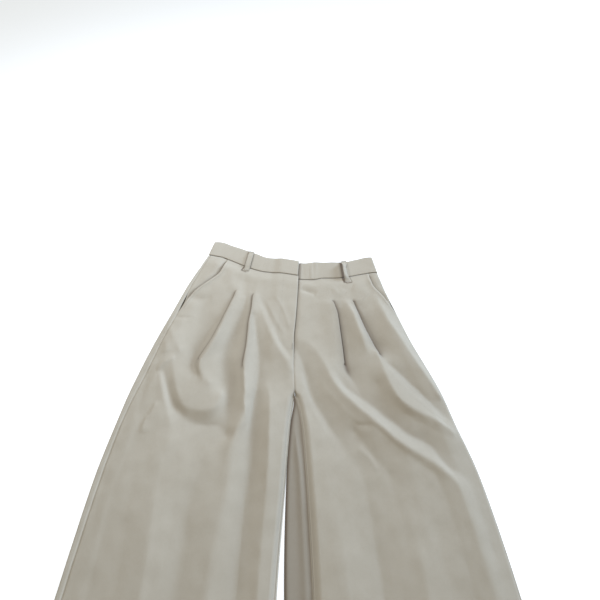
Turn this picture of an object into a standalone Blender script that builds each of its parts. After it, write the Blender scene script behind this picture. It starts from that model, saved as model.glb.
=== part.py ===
"""Wide-leg trousers with two reverse pleats a side, laid flat with the front up.

Metres, +Z up, +Y towards the waist, origin on the floor under the middle of the garment.
Right and left are the wearer's, so the right leg lies at -X. Every panel is an open
surface with a Solidify wall. The back of each leg wraps round both edges of the leg and
meets the front there, so that each leg is a flat tube with its seams on the top side.
"""

from collections import namedtuple

import bmesh
import bpy
import numpy as np

# Driving dimensions.
CLOTH = 0.0014  # wall of a single panel, with its turned edges taken in
BAND_CLOTH = 0.0022  # wall of the waistband, which is folded double
STRAP_CLOTH = 0.0012  # wall of a belt loop
TAPE = 0.0010  # wall of the zip and of the waist hook
GAP = 0.0003  # clear space between two pieces that are sewn together or lie on each other
LAYER = CLOTH + GAP  # from the middle of one panel to the middle of one lying on it
LOOP_WIDTH = 0.0120  # width of a belt loop
LOOP_BELOW_SEAM = 0.0120  # how far a belt loop reaches below the waist seam
LOOP_STAND = 0.0045  # how far a front belt loop stands off the band, for the belt
FACING_UNDER = 0.018  # how far a pocket facing runs on under the front
BACK_BAND_LOW = 0.0015  # how far the back waistband's top edge lies below the front's
BAND_UNDERLAP = 0.036  # length of the left waistband under the right one
BAND_ROLL = 0.0024  # radius of the waistband's rolled ends
INNER_ROLL = 0.0015  # radius of the rolled inner edge of a leg
EDGE_FADE = 0.020  # how far in from a rolled edge a front comes down to rest
WAIST_FADE = 0.035  # how far below the waist seam a front comes down to rest
FLY_CLOSED_Y = (0.195, 0.225)  # the right front comes down to the left between these
LAP_RISE_AT = np.array((0.062, 0.040))  # from the fly edge, where the right side rises over it
SEAM_START = 0.0003  # a short first stretch at a seam, so that both edges face each other
BACK_LEVEL = 0.0045  # how far the middle of the back waist lies between the two fronts
FOLD_EDGE = (0.004, 0.026)  # from a panel's edge, where the soft folds begin and are whole
FOLD_TOP = 0.050  # how far below the waist seam the soft folds are whole
FACING_FADE = (0.006, 0.032)  # past a facing's end, where the front begins to come down and is down
MOUTH_FADE = 0.030  # how far below a pocket mouth its facing still lifts the front
MOUTH_TURN = (0.012, 0.002)  # out from a pocket mouth, where the facing dips to go under it
STRAP_FADE = (0.016, 0.036)  # below the waist seam, where the back comes down off the belt loops
INNER_FADE = 0.012  # how far in from a leg's inner edge the front comes down to it
PLEAT_CLOSED = 0.004  # the overlap at which a pleat is fully folded
OUTER_TURN_LEAST = 0.0020  # the shortest run of rows up the rolled outer edge
OUTER_TURN_PAST = 0.006  # from that run to the next column
FLY_STRIP = 0.004  # from the last free column to the fly edge
BAND_NEXT = 0.008  # from a front waistband's rolled end to the next column
BACK_BAND_NEXT = (0.012, 0.010)  # the same on the back waistband, and its last column
LOOP_RISE = (0.08, 0.26)  # shares of a belt loop's length over which it leaves the band
LOOP_FALL = (0.74, 0.92)  # shares over which it comes back to it
LOOP_PANEL_ROW = 0.12  # the row of the front that a belt loop's foot lies on
ZIP_WIDTH = 0.020
ZIP_INSET = 0.006  # from the fly edge to the zip
ZIP_ROWS = (0.05, 2.7)  # the rows at which the zip begins and ends
HOOK_REACHES = (0.010, 0.016, 0.022)  # past the fly edge, across the waist hook
HOOK_UPS = (0.30, 0.50, 0.70)  # shares of the band's height, up the waist hook

# Heights of the middle of each wall.
BACK_Z = CLOTH / 2
STRAP_LIFT = STRAP_CLOTH + GAP  # how far the belt loops under it lift the back at the waist
REST_Z = BACK_Z + LAYER + 3 * GAP  # a front where it lies closest to the back
POCKET_RISE = LAYER  # how far the facing lifts the front at a pocket
FLY_RISE = CLOTH + TAPE + 6 * GAP  # how far the right front rises over the underlap and zip
BAND_BACK_Z = STRAP_LIFT + BAND_CLOTH / 2
BAND_FRONT_Z = BAND_BACK_Z + BAND_CLOTH + 2 * GAP
BAND_LAP_Z = BAND_FRONT_Z + BAND_CLOTH + TAPE + 3 * GAP

CLOTH_COLOUR = (0.50, 0.47, 0.405, 1.0)
ZIP_COLOUR = (0.42, 0.39, 0.33, 1.0)
HOOK_COLOUR = (0.60, 0.60, 0.58, 1.0)

# One row for each cross-section of a leg, from the waist seam to the hem. The outer point
# is the edge of the leg seen from above, and the inner point the edge of its front.
# inset: how far the side seam lies in from the outer edge. spread: how far the back
# shows past the inner edge of the front. roll: radius of the rolled outer edge.
# dip: how far the middle of the row hangs towards the hem. underlap: how far the panel
# runs on under the fly. steps: mesh rows to the next section.
Section = namedtuple(
    "Section", "outer_x outer_y inner_x inner_y inset spread roll dip underlap steps"
)
RIGHT_SECTIONS = (
    Section(-0.172, 0.488, 0.033, 0.430, 0.004, 0.001, 0.0026, 0.009, 0.0, 3),
    Section(-0.208, 0.405, 0.0295, 0.380, 0.008, 0.001, 0.0027, 0.005, 0.0, 3),
    Section(-0.228, 0.345, 0.025, 0.330, 0.011, 0.001, 0.0026, 0.000, 0.0, 3),
    Section(-0.247, 0.290, 0.020, 0.280, 0.013, 0.001, 0.0026, 0.000, 0.0, 3),
    Section(-0.263, 0.235, 0.019, 0.230, 0.014, 0.001, 0.0026, 0.000, 0.0, 2),
    Section(-0.275, 0.188, 0.020, 0.188, 0.012, 0.001, 0.0026, 0.000, 0.0, 1),
    Section(-0.278, 0.174, 0.0170, 0.174, 0.011, 0.001, 0.0026, 0.000, 0.0, 2),
    Section(-0.285, 0.135, 0.0105, 0.135, 0.009, 0.001, 0.0026, 0.000, 0.0, 2),
    Section(-0.297, 0.055, 0.002, 0.055, 0.010, 0.001, 0.0026, 0.000, 0.0, 2),
    Section(-0.306, -0.080, -0.012, -0.080, 0.009, 0.002, 0.0025, 0.000, 0.0, 1),
    Section(-0.316, -0.280, -0.024, -0.280, 0.008, 0.004, 0.0025, 0.000, 0.0, 1),
    Section(-0.325, -0.525, -0.035, -0.525, 0.008, 0.006, 0.0024, 0.000, 0.0, 0),
)
LEFT_SECTIONS = (
    Section(0.208, 0.439, 0.034, 0.421, 0.001, 0.001, 0.0026, 0.004, 0.035, 3),
    Section(0.220, 0.385, 0.0295, 0.380, 0.001, 0.001, 0.0027, 0.002, 0.035, 3),
    Section(0.235, 0.330, 0.025, 0.330, 0.001, 0.001, 0.0026, 0.000, 0.033, 3),
    Section(0.249, 0.280, 0.020, 0.280, 0.001, 0.001, 0.0026, 0.000, 0.018, 3),
    Section(0.267, 0.230, 0.019, 0.230, 0.001, 0.001, 0.0026, 0.000, 0.000, 2),
    Section(0.281, 0.188, 0.020, 0.188, 0.001, 0.001, 0.0026, 0.000, 0.000, 1),
    Section(0.2845, 0.174, 0.0245, 0.174, 0.001, 0.0048, 0.0026, 0.000, 0.000, 2),
    Section(0.292, 0.135, 0.0325, 0.135, 0.001, 0.0192, 0.0026, 0.000, 0.000, 2),
    Section(0.309, 0.055, 0.0375, 0.055, 0.001, 0.0322, 0.0026, 0.000, 0.000, 2),
    Section(0.318, -0.080, 0.041, -0.080, 0.002, 0.0380, 0.0025, 0.000, 0.000, 1),
    Section(0.322, -0.280, 0.042, -0.280, 0.004, 0.022, 0.0025, 0.000, 0.000, 1),
    Section(0.328, -0.525, 0.038, -0.525, 0.006, 0.012, 0.0024, 0.000, 0.000, 0),
)
CROTCH = 5  # the section where the legs part

# The free edge of a pleat's upper layer, from the waist seam to the hem. overlap: how far
# the fold underneath runs in. step: how high the upper layer stands over the lower one.
PleatPoint = namedtuple("PleatPoint", "x y overlap step")
RIGHT_PLEATS = (
    (
        PleatPoint(-0.098, 0.462, 0.000, 0.0000),
        PleatPoint(-0.101, 0.392, 0.000, 0.0010),
        PleatPoint(-0.110, 0.359, 0.004, 0.0052),
        PleatPoint(-0.1235, 0.321, 0.007, 0.0075),
        PleatPoint(-0.138, 0.283, 0.008, 0.0090),
        PleatPoint(-0.151, 0.259, 0.006, 0.0085),
        PleatPoint(-0.162, 0.236, 0.000, 0.0060),
        PleatPoint(-0.166, 0.205, 0.000, 0.0030),
        PleatPoint(-0.168, 0.150, 0.000, 0.0008),
        PleatPoint(-0.180, -0.525, 0.000, 0.0000),
    ),
    (
        PleatPoint(-0.058, 0.447, 0.000, 0.0000),
        PleatPoint(-0.064, 0.386, 0.000, 0.0010),
        PleatPoint(-0.065, 0.350, 0.004, 0.0055),
        PleatPoint(-0.069, 0.314, 0.007, 0.0080),
        PleatPoint(-0.070, 0.273, 0.008, 0.0095),
        PleatPoint(-0.074, 0.234, 0.005, 0.0085),
        PleatPoint(-0.076, 0.205, 0.000, 0.0060),
        PleatPoint(-0.062, 0.165, 0.000, 0.0035),
        PleatPoint(-0.052, 0.100, 0.000, 0.0015),
        PleatPoint(-0.080, -0.525, 0.000, 0.0000),
    ),
)
LEFT_PLEATS = (
    (
        PleatPoint(0.139, 0.426, 0.000, 0.0000),
        PleatPoint(0.144, 0.368, 0.000, 0.0010),
        PleatPoint(0.1535, 0.329, 0.005, 0.0065),
        PleatPoint(0.1655, 0.293, 0.008, 0.0090),
        PleatPoint(0.180, 0.259, 0.006, 0.0085),
        PleatPoint(0.188, 0.228, 0.000, 0.0060),
        PleatPoint(0.199, 0.190, 0.000, 0.0035),
        PleatPoint(0.212, 0.140, 0.000, 0.0015),
        PleatPoint(0.220, -0.525, 0.000, 0.0000),
    ),
    (
        PleatPoint(0.098, 0.422, 0.000, 0.0000),
        PleatPoint(0.101, 0.368, 0.000, 0.0010),
        PleatPoint(0.109, 0.333, 0.005, 0.0060),
        PleatPoint(0.110, 0.303, 0.007, 0.0085),
        PleatPoint(0.112, 0.263, 0.008, 0.0095),
        PleatPoint(0.113, 0.232, 0.005, 0.0080),
        PleatPoint(0.118, 0.208, 0.000, 0.0060),
        PleatPoint(0.134, 0.170, 0.000, 0.0035),
        PleatPoint(0.146, 0.110, 0.000, 0.0015),
        PleatPoint(0.130, -0.525, 0.000, 0.0000),
    ),
)
PLEAT_MARGIN = 0.009  # cloth on each side of a pleat's edge that follows the fold
PLEAT_FADE = 0.030  # how far in from its edge an upper layer comes down again

# Mesh columns and rows.
PLEAT_GAP_COLUMNS = 3  # between two pleats
FLY_COLUMNS = 5  # from the inner pleat to the fly
EDGE_COLUMNS = 7  # round the back's outer edge
INNER_COLUMNS = 6  # round the back's inner edge
BACK_COLUMNS = 8  # across the back, between its two edges
BAND_COLUMNS = 13  # along a front waistband
BACK_BAND_COLUMNS = 9  # along half of the back waistband
ZIP_COUNT = 8  # along the zip
BAND_UPS = (0.0, 0.06, 0.35, 0.65, 0.94, 1.0)  # up a waistband
ROLL_SHARES = (0.0, 0.08, 0.4, 0.7, 1.0)  # round a waistband's rolled end
FACING_SHARES = (0.0, 0.12, 0.25, 0.4, 0.55, 0.7, 0.85, 1.0)  # across a pocket facing
LOOP_SHARES = (0.0, 0.05, 0.10, 0.17, 0.26, 0.38, 0.50, 0.62, 0.74, 0.83, 0.90, 0.95, 1.0)
LOOP_OFFSETS = (-0.5, -0.17, 0.17, 0.5)  # across a front belt loop
BACK_LOOP_SHARES = (0.0, 0.25, 0.5, 0.75, 1.0)
BACK_LOOP_OFFSETS = (-0.5, 0.0, 0.5)

# A pleat seen end on, from the lower layer in to the fold and back over the top.
# margin, overlap and step weigh the pleat's own sizes.
FoldPoint = namedtuple("FoldPoint", "margin overlap step_out step")
FOLD_POINTS = (
    FoldPoint(-1.0, 0.0, 0.0, 0.0),
    FoldPoint(-0.2, 0.3, 0.0, 0.0),
    FoldPoint(0.0, 1.0, 0.0, 0.0),
    FoldPoint(0.0, 1.0, 0.2, 0.25),
    FoldPoint(0.0, 1.0, 0.0, 0.5),
    FoldPoint(0.0, 0.0, 0.0, 0.5),
    FoldPoint(0.0, 0.0, -0.2, 0.75),
    FoldPoint(0.0, 0.0, 0.0, 1.0),
    FoldPoint(1.0, 0.5, 0.0, 1.0),
)

# The largest soft folds, each a line from its high end to where it dies out.
# side: -1 on the right leg and 1 on the left. width: half its width.
Fold = namedtuple("Fold", "side height width x0 y0 x1 y1 x2 y2")
FOLDS = (
    Fold(-1, 0.0050, 0.020, -0.060, 0.375, -0.020, 0.295, 0.012, 0.245),
    Fold(-1, -0.0040, 0.026, -0.195, 0.200, -0.140, 0.150, -0.080, 0.150),
    Fold(-1, 0.0045, 0.022, -0.232, 0.235, -0.228, 0.150, -0.250, 0.050),
    Fold(-1, 0.0055, 0.030, -0.060, 0.180, -0.050, 0.040, -0.060, -0.250),
    Fold(-1, 0.0045, 0.035, -0.200, 0.080, -0.190, -0.100, -0.200, -0.350),
    Fold(1, 0.0070, 0.024, 0.080, 0.240, 0.140, 0.160, 0.270, 0.040),
    Fold(1, 0.0050, 0.020, 0.200, 0.210, 0.245, 0.165, 0.285, 0.110),
    Fold(1, 0.0055, 0.022, 0.028, 0.250, 0.060, 0.140, 0.115, 0.030),
    Fold(1, 0.0045, 0.035, 0.120, 0.020, 0.140, -0.120, 0.130, -0.350),
    Fold(1, 0.0040, 0.030, 0.240, 0.000, 0.255, -0.150, 0.250, -0.400),
)

# The free edge of each pocket mouth, from the waist seam to the side seam.
MouthPoint = namedtuple("MouthPoint", "x y")
RIGHT_MOUTH = (
    MouthPoint(-0.127, 0.476),
    MouthPoint(-0.141, 0.437),
    MouthPoint(-0.164, 0.415),
    MouthPoint(-0.189, 0.392),
    MouthPoint(-0.203, 0.371),
    MouthPoint(-0.221, 0.335),
)
LEFT_MOUTH = (
    MouthPoint(0.188, 0.440),
    MouthPoint(0.189, 0.420),
    MouthPoint(0.193, 0.402),
    MouthPoint(0.211, 0.375),
    MouthPoint(0.233, 0.334),
)

# Each end of the waistband's top edge, and how far its middle hangs.
BandEdge = namedtuple("BandEdge", "outer_x outer_y inner_x inner_y dip")
RIGHT_BAND = BandEdge(-0.1625, 0.525, 0.037, 0.468, 0.004)
LEFT_BAND = BandEdge(0.202, 0.480, 0.037, 0.465, 0.001)

# Where each belt loop sits, as a share of the way from the outer edge to the fly.
FRONT_LOOP_AT = {"right": 0.445, "left": 0.395}
BACK_LOOPS_AT = {
    "back_right": ("right", 0.42),
    "back_left": ("left", 0.45),
    "back_centre": ("right", 0.985),
}


def smooth(keys, values, at):
    """A curve through the values at rising keys that never overshoots them."""
    keys = np.asarray(keys, float)
    values = np.asarray(values, float)
    rises = np.diff(values) / np.diff(keys)
    product = rises[:-1] * rises[1:]
    total = np.where(product > 0, rises[:-1] + rises[1:], 1.0)
    inner = np.where(product > 0, 2 * product / total, 0.0)
    slopes = np.concatenate([rises[:1], inner, rises[-1:]])
    at = np.clip(at, keys[0], keys[-1])
    i = np.clip(np.searchsorted(keys, at, side="right") - 1, 0, len(keys) - 2)
    width = keys[i + 1] - keys[i]
    t = (at - keys[i]) / width
    start = (1 + 2 * t) * (1 - t) ** 2 * values[i] + t * (1 - t) ** 2 * width * slopes[i]
    end = t * t * (3 - 2 * t) * values[i + 1] - t * t * (1 - t) * width * slopes[i + 1]
    return start + end


def ease(value, low, high):
    """0 at low, 1 at high and a soft S between them."""
    t = np.clip((value - low) / (high - low), 0.0, 1.0)
    return t * t * (3 - 2 * t)


def bell(value, width):
    """1 at zero, fading to nothing at about twice the width."""
    return np.exp(-((value / width) ** 2))


class Leg:
    """One side of the garment: its cross-sections, pleats and pocket mouth.

    A place on it is a row, counted in sections from the waist seam, and a reach, the
    distance in from the leg's outer edge along that row.
    """

    def __init__(self, name, side, sections, pleats, mouth, band):
        self.name = name
        self.side = side
        self.sections = sections
        self.pleats = [sorted(pleat, key=lambda point: point.y) for pleat in pleats]
        self.mouth = sorted(mouth, key=lambda point: point.y)
        self.band = band

    def column(self, name, row):
        """A section column, smoothed along the leg."""
        values = [getattr(section, name) for section in self.sections]
        return smooth(range(len(values)), values, row)

    def width(self, row):
        """The length of a row from the leg's outer edge to the front's inner edge."""
        dx = self.column("inner_x", row) - self.column("outer_x", row)
        dy = self.column("inner_y", row) - self.column("outer_y", row)
        return np.hypot(dx, dy)

    def place(self, row, reach):
        """World x and y."""
        share = reach / self.width(row)
        outer_x, outer_y = self.column("outer_x", row), self.column("outer_y", row)
        x = outer_x + share * (self.column("inner_x", row) - outer_x)
        y = outer_y + share * (self.column("inner_y", row) - outer_y)
        return x, y - self.column("dip", row) * np.sin(np.pi * np.clip(share, 0.0, 1.0))

    def reach_of(self, row, line):
        """The reach at which a row crosses a line of points with rising y."""
        keys = [point.y for point in line]
        xs = [point.x for point in line]
        outer_x = self.column("outer_x", row)
        slope = (self.column("inner_x", row) - outer_x) / self.width(row)
        reach = self.width(row) / 2
        for _ in range(8):
            y = self.place(row, reach)[1]
            reach = (smooth(keys, xs, y) - outer_x) / slope
        return reach

    def pleat_size(self, pleat, name, row, reach):
        """A pleat's overlap or step where it crosses a row."""
        y = self.place(row, reach)[1]
        return float(smooth([point.y for point in pleat], [getattr(point, name) for point in pleat], y))

    def mouth_reach(self, row):
        """The reach of the pocket mouth, or 0 below it."""
        reach = self.reach_of(row, self.mouth)
        y = self.place(row, reach)[1]
        return np.where(y < self.mouth[0].y + 1e-5, 0.0, reach)

    def split(self, row):
        """0 above the crotch and 1 below it, where the leg is a tube."""
        return ease(row, CROTCH, CROTCH + 1)

    def back_z(self, row, reach):
        """The middle of the back's lower wall, lifted over the belt loops at the waist."""
        down = self.place(0.0 * row, reach)[1] - self.place(row, reach)[1]
        return BACK_Z + STRAP_LIFT * (1 - ease(down, *STRAP_FADE))

    def folds_z(self, x, y):
        """The largest soft folds added up."""
        total = np.zeros(np.broadcast(x, y).shape)
        for fold in FOLDS:
            if fold.side == self.side:
                total = total + fold_height(fold, x, y)
        return total

    def front_z(self, row, reach):
        """The middle of the front's wall, away from its pleats."""
        width = self.width(row)
        x, y = self.place(row, reach)
        down = self.place(0.0 * row, reach)[1] - y
        waist = bell(down, WAIST_FADE)
        lower = self.back_z(row, reach) - BACK_Z
        rest = REST_Z + lower
        outer = 2 * self.column("roll", row) + BACK_Z - REST_Z
        inner = 2 * INNER_ROLL + BACK_Z - REST_Z
        z = rest + outer * bell(np.maximum(reach - self.column("roll", row), 0.0), EDGE_FADE)
        z = z + self.split(row) * inner * bell(width - reach, EDGE_FADE)
        z = z + waist * (BAND_FRONT_Z - REST_Z - STRAP_LIFT)
        if self.side < 0:
            lap = BAND_LAP_Z - BAND_FRONT_Z
            over = ease(reach, *(width - LAP_RISE_AT)) * ease(y, *FLY_CLOSED_Y)
            z = z + over * (FLY_RISE + waist * (lap - FLY_RISE))
        under_end = self.mouth_reach(row) + FACING_UNDER
        over_facing = 1 - ease(reach - under_end, *FACING_FADE)
        z = z + POCKET_RISE * over_facing * ease(y, self.mouth[0].y - MOUTH_FADE, self.mouth[0].y)
        inside = ease(np.minimum(reach, width - reach), *FOLD_EDGE) * ease(down, 0.0, FOLD_TOP)
        return np.maximum(z + inside * self.folds_z(x, y), rest)

    def outer_roll(self, row, arc):
        """Reach and share of the front's height at an arc length up from the outer edge."""
        roll = self.column("roll", row)
        turn = np.clip(arc / roll, -np.pi / 2, np.pi / 2)
        past = np.maximum(np.abs(arc) - roll * np.pi / 2, 0.0)
        return roll * (1 - np.cos(turn)) + past, np.sin(turn)

    def seam_arc(self, inset, roll):
        """Arc length up from the edge to a seam that lies this far in."""
        turn = np.arccos(np.clip(1 - inset / roll, 0.0, 1.0))
        return roll * turn + np.maximum(inset - roll, 0.0)


def fold_height(fold, x, y):
    """The height of one soft fold: a curved line, thick at its start, round across it."""
    best = np.full(np.broadcast(x, y).shape, np.inf)
    along = np.zeros_like(best)
    for t in np.linspace(0.0, 1.0, 25):
        px = (1 - t) ** 2 * fold.x0 + 2 * t * (1 - t) * fold.x1 + t * t * fold.x2
        py = (1 - t) ** 2 * fold.y0 + 2 * t * (1 - t) * fold.y1 + t * t * fold.y2
        distance = np.hypot(x - px, y - py)
        along = np.where(distance < best, t, along)
        best = np.minimum(best, distance)
    return fold.height * bell(best, fold.width) * (1 - 0.6 * along)


def mesh_rows(leg, last):
    """Row numbers of the mesh, from the waist seam to the section called last."""
    rows = []
    for number, section in enumerate(leg.sections[:last]):
        rows.extend(number + step / section.steps for step in range(section.steps))
    rows.append(float(last))
    return np.array(rows)


def front_columns(leg, row):
    """Reach, height and turn of each point of the front's cross-section, from seam to edge."""
    roll = float(leg.column("roll", row))
    width = float(leg.width(row))
    seam = float(leg.seam_arc(leg.column("inset", row), roll)) + GAP / 2
    unroll = roll * (np.pi / 2 - 1)
    mouth = float(leg.mouth_reach(row))
    start = max(seam, mouth + unroll)
    spread = float(leg.column("spread", row))
    split = float(leg.split(row))
    inner_turn = np.arccos(np.clip(1 - spread / INNER_ROLL, 0.0, 1.0)) * split + np.pi / 2 * (1 - split)
    end = width + float(leg.column("underlap", row)) - GAP / 2
    centres = [float(leg.reach_of(row, pleat)) + unroll for pleat in leg.pleats]
    steps = [leg.pleat_size(pleat, "step", row, centre) for pleat, centre in zip(leg.pleats, centres)]
    points = []

    def stretch(low, high, count):
        """Adds evenly spaced points that no pleat lifts."""
        points.extend((arc, {}) for arc in np.linspace(low, high, count, endpoint=False))

    low = start
    for number, (pleat, centre) in enumerate(zip(leg.pleats, centres)):
        overlap = leg.pleat_size(pleat, "overlap", row, centre)
        folded = ease(overlap, 0.0, PLEAT_CLOSED)
        if number == 0:
            turned = max(roll * np.pi / 2 - start, OUTER_TURN_LEAST)
            points.extend((start + ahead, {}) for ahead in (0.0, SEAM_START, 0.55 * turned, turned))
            low = start + turned + OUTER_TURN_PAST
        stretch(low, centre - PLEAT_MARGIN, PLEAT_GAP_COLUMNS)
        for index, fold in enumerate(FOLD_POINTS):
            open_at = PLEAT_MARGIN * (2 * index / (len(FOLD_POINTS) - 1) - 1)
            shut_at = fold.margin * PLEAT_MARGIN + fold.overlap * overlap + fold.step_out * steps[number]
            lift = folded * fold.step + (1 - folded) * ease(open_at, -PLEAT_MARGIN, PLEAT_MARGIN)
            points.append((centre + open_at + folded * (shut_at - open_at), {number: lift}))
        low = points.pop()[0]
    points.extend((arc, {}) for arc in np.linspace(low, end - FLY_STRIP, FLY_COLUMNS))
    points.extend(((end - SEAM_START, {}), (end, {})))
    reaches, heights = [], []
    for arc, lifts in points:
        reach, share = leg.outer_roll(row, arc)
        base = float(leg.front_z(row, reach))
        middle = float(leg.back_z(row, reach)) + roll
        z = middle + (base - middle) * float(share)
        for number, (step, centre) in enumerate(zip(steps, centres)):
            beyond = arc - centre
            lift = lifts.get(number, 0.0 if beyond < 0 else float(bell(beyond, PLEAT_FADE)))
            z += step * lift
        inner_share = ease(width - reach, 0.0, INNER_FADE)
        low_edge = BACK_Z + INNER_ROLL * (1 + np.sin(inner_turn))
        z = z + split * (1 - inner_share) * (low_edge - z)
        reaches.append(float(reach))
        heights.append(float(z))
    return reaches, heights


def back_columns(leg, row):
    """Reach and height of each point of the back's cross-section, seam to seam underneath."""
    roll = float(leg.column("roll", row))
    width = float(leg.width(row))
    seam = float(leg.seam_arc(leg.column("inset", row), roll)) - GAP / 2
    spread = float(leg.column("spread", row))
    split = float(leg.split(row))
    reaches, heights = [], []
    bottom = -roll * np.pi / 2
    for arc in (seam, *np.linspace(seam - SEAM_START, bottom, EDGE_COLUMNS)):
        reach, share = leg.outer_roll(row, arc)
        z = float(leg.back_z(row, reach)) + roll * (1 + float(share))
        reaches.append(float(reach))
        heights.append(z)
    inner_seam = float(leg.seam_arc(spread, INNER_ROLL)) - GAP / 2
    inner_bottom = -INNER_ROLL * np.pi / 2
    fold_edge = width + spread
    flat_edge = width - GAP / 2
    inner = []
    for arc in (*np.linspace(inner_bottom, inner_seam - SEAM_START, INNER_COLUMNS), inner_seam):
        turn = np.clip(arc / INNER_ROLL, -np.pi / 2, np.pi / 2)
        past = max(abs(arc) - INNER_ROLL * np.pi / 2, 0.0)
        tube_reach = fold_edge - INNER_ROLL * (1 - np.cos(turn)) - past
        tube_z = BACK_Z + INNER_ROLL * (1 + np.sin(turn))
        flat_reach = flat_edge - (inner_seam - arc) / (inner_seam - inner_bottom) * 4 * INNER_ROLL
        inner.append(
            (
                flat_reach + split * (tube_reach - flat_reach),
                (1 - split) * float(leg.back_z(row, flat_reach)) + split * tube_z,
            )
        )
    first = reaches[-1]
    for share in np.linspace(0.0, 1.0, BACK_COLUMNS)[1:-1]:
        reach = first + share * (inner[0][0] - first)
        reaches.append(reach)
        heights.append(float(leg.back_z(row, reach)))
    for reach, z in inner:
        reaches.append(float(reach))
        heights.append(float(z))
    return reaches, heights


def facing_columns(leg, row):
    """The pocket facing's cross-section, from the side seam in under the front."""
    roll = float(leg.column("roll", row))
    mouth = float(leg.mouth_reach(row))
    seam_reach = float(leg.outer_roll(row, float(leg.seam_arc(leg.column("inset", row), roll)))[0])
    turn_from, turn_to = (mouth - before for before in MOUTH_TURN)
    under_all = float(ease(seam_reach, turn_from, turn_to))
    seam = float(leg.seam_arc(leg.column("inset", row), roll)) + GAP / 2 + 2 * CLOTH * under_all
    end = max(mouth, seam_reach) + FACING_UNDER
    reaches, heights = [], []
    for share in FACING_SHARES:
        arc = seam + share * (end - seam)
        reach, rise = leg.outer_roll(row, arc)
        drop = LAYER * float(ease(reach, turn_from, turn_to))
        middle = float(leg.back_z(row, reach)) + roll
        z = middle + (float(leg.front_z(row, reach)) - middle) * float(rise) - drop
        reaches.append(float(reach))
        heights.append(z)
    return reaches, heights


def strip(leg, rows, columns, underneath=False):
    """Grid of world points, one list for each row, from a function for its cross-section."""
    grid = []
    for row in rows:
        reaches, heights = columns(leg, row)
        x, y = leg.place(row, np.array(reaches))
        if underneath:
            y = y + back_level(leg, row, np.array(reaches))
        grid.append(list(zip(x, y, heights)))
    return grid


def back_level(leg, row, reach):
    """How far the back lies off its front along the leg, so that its two sides meet."""
    share = reach / leg.width(row)
    return leg.side * BACK_LEVEL * ease(share, 0.5, 1.0) * (1 - ease(row, 0.0, 1.0))


def band_point(leg, share, up, lower):
    """World x and y on the waistband, share of the way in from its end and up its height."""
    width = float(leg.width(0.0))
    low_x, low_y = leg.place(0.0, share * width)
    band = leg.band
    high_x = band.outer_x + share * (band.inner_x - band.outer_x)
    high_y = band.outer_y + share * (band.inner_y - band.outer_y)
    high_y = high_y - band.dip * np.sin(np.pi * min(max(share, 0.0), 1.0))
    low_y = low_y + GAP
    if lower:
        level = float(back_level(leg, 0.0, share * width))
        low_y = low_y + level
        high_y = high_y + level - BACK_BAND_LOW
    return low_x + up * (high_x - low_x), low_y + up * (high_y - low_y)



def band_front_z(leg, share):
    """The middle of a front waistband's wall, away from its rolled end."""
    width = float(leg.width(0.0))
    reach = share * width
    end_top = BAND_BACK_Z + 2 * BAND_ROLL
    z = BAND_FRONT_Z + (end_top - BAND_FRONT_Z) * float(bell(max(reach - BAND_ROLL, 0.0), EDGE_FADE))
    if leg.side < 0:
        z += (BAND_LAP_Z - BAND_FRONT_Z) * float(ease(reach, *(width - LAP_RISE_AT)))
    return z


def front_band_grid(leg):
    """Points of a front waistband, from its rolled end to the fly."""
    width = float(leg.width(0.0))
    under = BAND_UNDERLAP if leg.side > 0 else 0.0
    arcs = [GAP / 2 + share * BAND_ROLL * np.pi / 2 for share in ROLL_SHARES]
    arcs.extend(np.linspace(BAND_ROLL * np.pi / 2 + BAND_NEXT, width + under, BAND_COLUMNS))
    grid = []
    for up in BAND_UPS:
        line = []
        for arc in arcs:
            turn = min(arc / BAND_ROLL, np.pi / 2)
            reach = BAND_ROLL * (1 - np.cos(turn)) + max(arc - BAND_ROLL * np.pi / 2, 0.0)
            x, y = band_point(leg, reach / width, up, False)
            middle = BAND_BACK_Z + BAND_ROLL
            z = middle + (band_front_z(leg, reach / width) - middle) * np.sin(turn)
            line.append((x, y, z))
        grid.append(line)
    return grid


def back_band_grid(right, left):
    """Points of the back waistband, from its right end round underneath to its left end."""
    grid = []
    for up in BAND_UPS:
        line = []
        for leg in (right, left):
            width = float(leg.width(0.0))
            half = []
            for share in ROLL_SHARES:
                turn = -(GAP / 2 / BAND_ROLL) - share * (np.pi / 2 - GAP / 2 / BAND_ROLL)
                reach = BAND_ROLL * (1 - np.cos(turn))
                x, y = band_point(leg, reach / width, up, True)
                half.append((x, y, BAND_BACK_Z + BAND_ROLL * (1 + np.sin(turn))))
            first, last = BACK_BAND_NEXT
            for reach in np.linspace(first, width - last, BACK_BAND_COLUMNS):
                x, y = band_point(leg, reach / width, up, True)
                half.append((x, y, BAND_BACK_Z))
            line.extend(half if leg.side < 0 else reversed(half))
        grid.append(line)
    return grid


def belt_loop_grid(leg, share):
    """Points of a front belt loop, standing off the band between its two sewn ends."""
    width = float(leg.width(0.0))
    low = np.array(band_point(leg, share, 0.0, False))
    high = np.array(band_point(leg, share, 1.0, False))
    along = (high - low) / np.linalg.norm(high - low)
    across = np.array((along[1], -along[0]))
    start = low - LOOP_BELOW_SEAM * along
    length = np.linalg.norm(high - start)
    panel_top = float(leg.front_z(np.float64(LOOP_PANEL_ROW), share * width)) + CLOTH / 2
    band_top = band_front_z(leg, share) + BAND_CLOTH / 2
    foot = max(panel_top, band_top) + 2 * GAP + STRAP_CLOTH / 2
    grid = []
    for t in LOOP_SHARES:
        stand = LOOP_STAND * float(ease(t, *LOOP_RISE) * (1 - ease(t, *LOOP_FALL)))
        centre = start + t * length * along
        line = []
        for offset in LOOP_OFFSETS:
            x, y = centre + offset * LOOP_WIDTH * across
            line.append((x, y, foot + stand))
        grid.append(line)
    return grid


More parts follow.
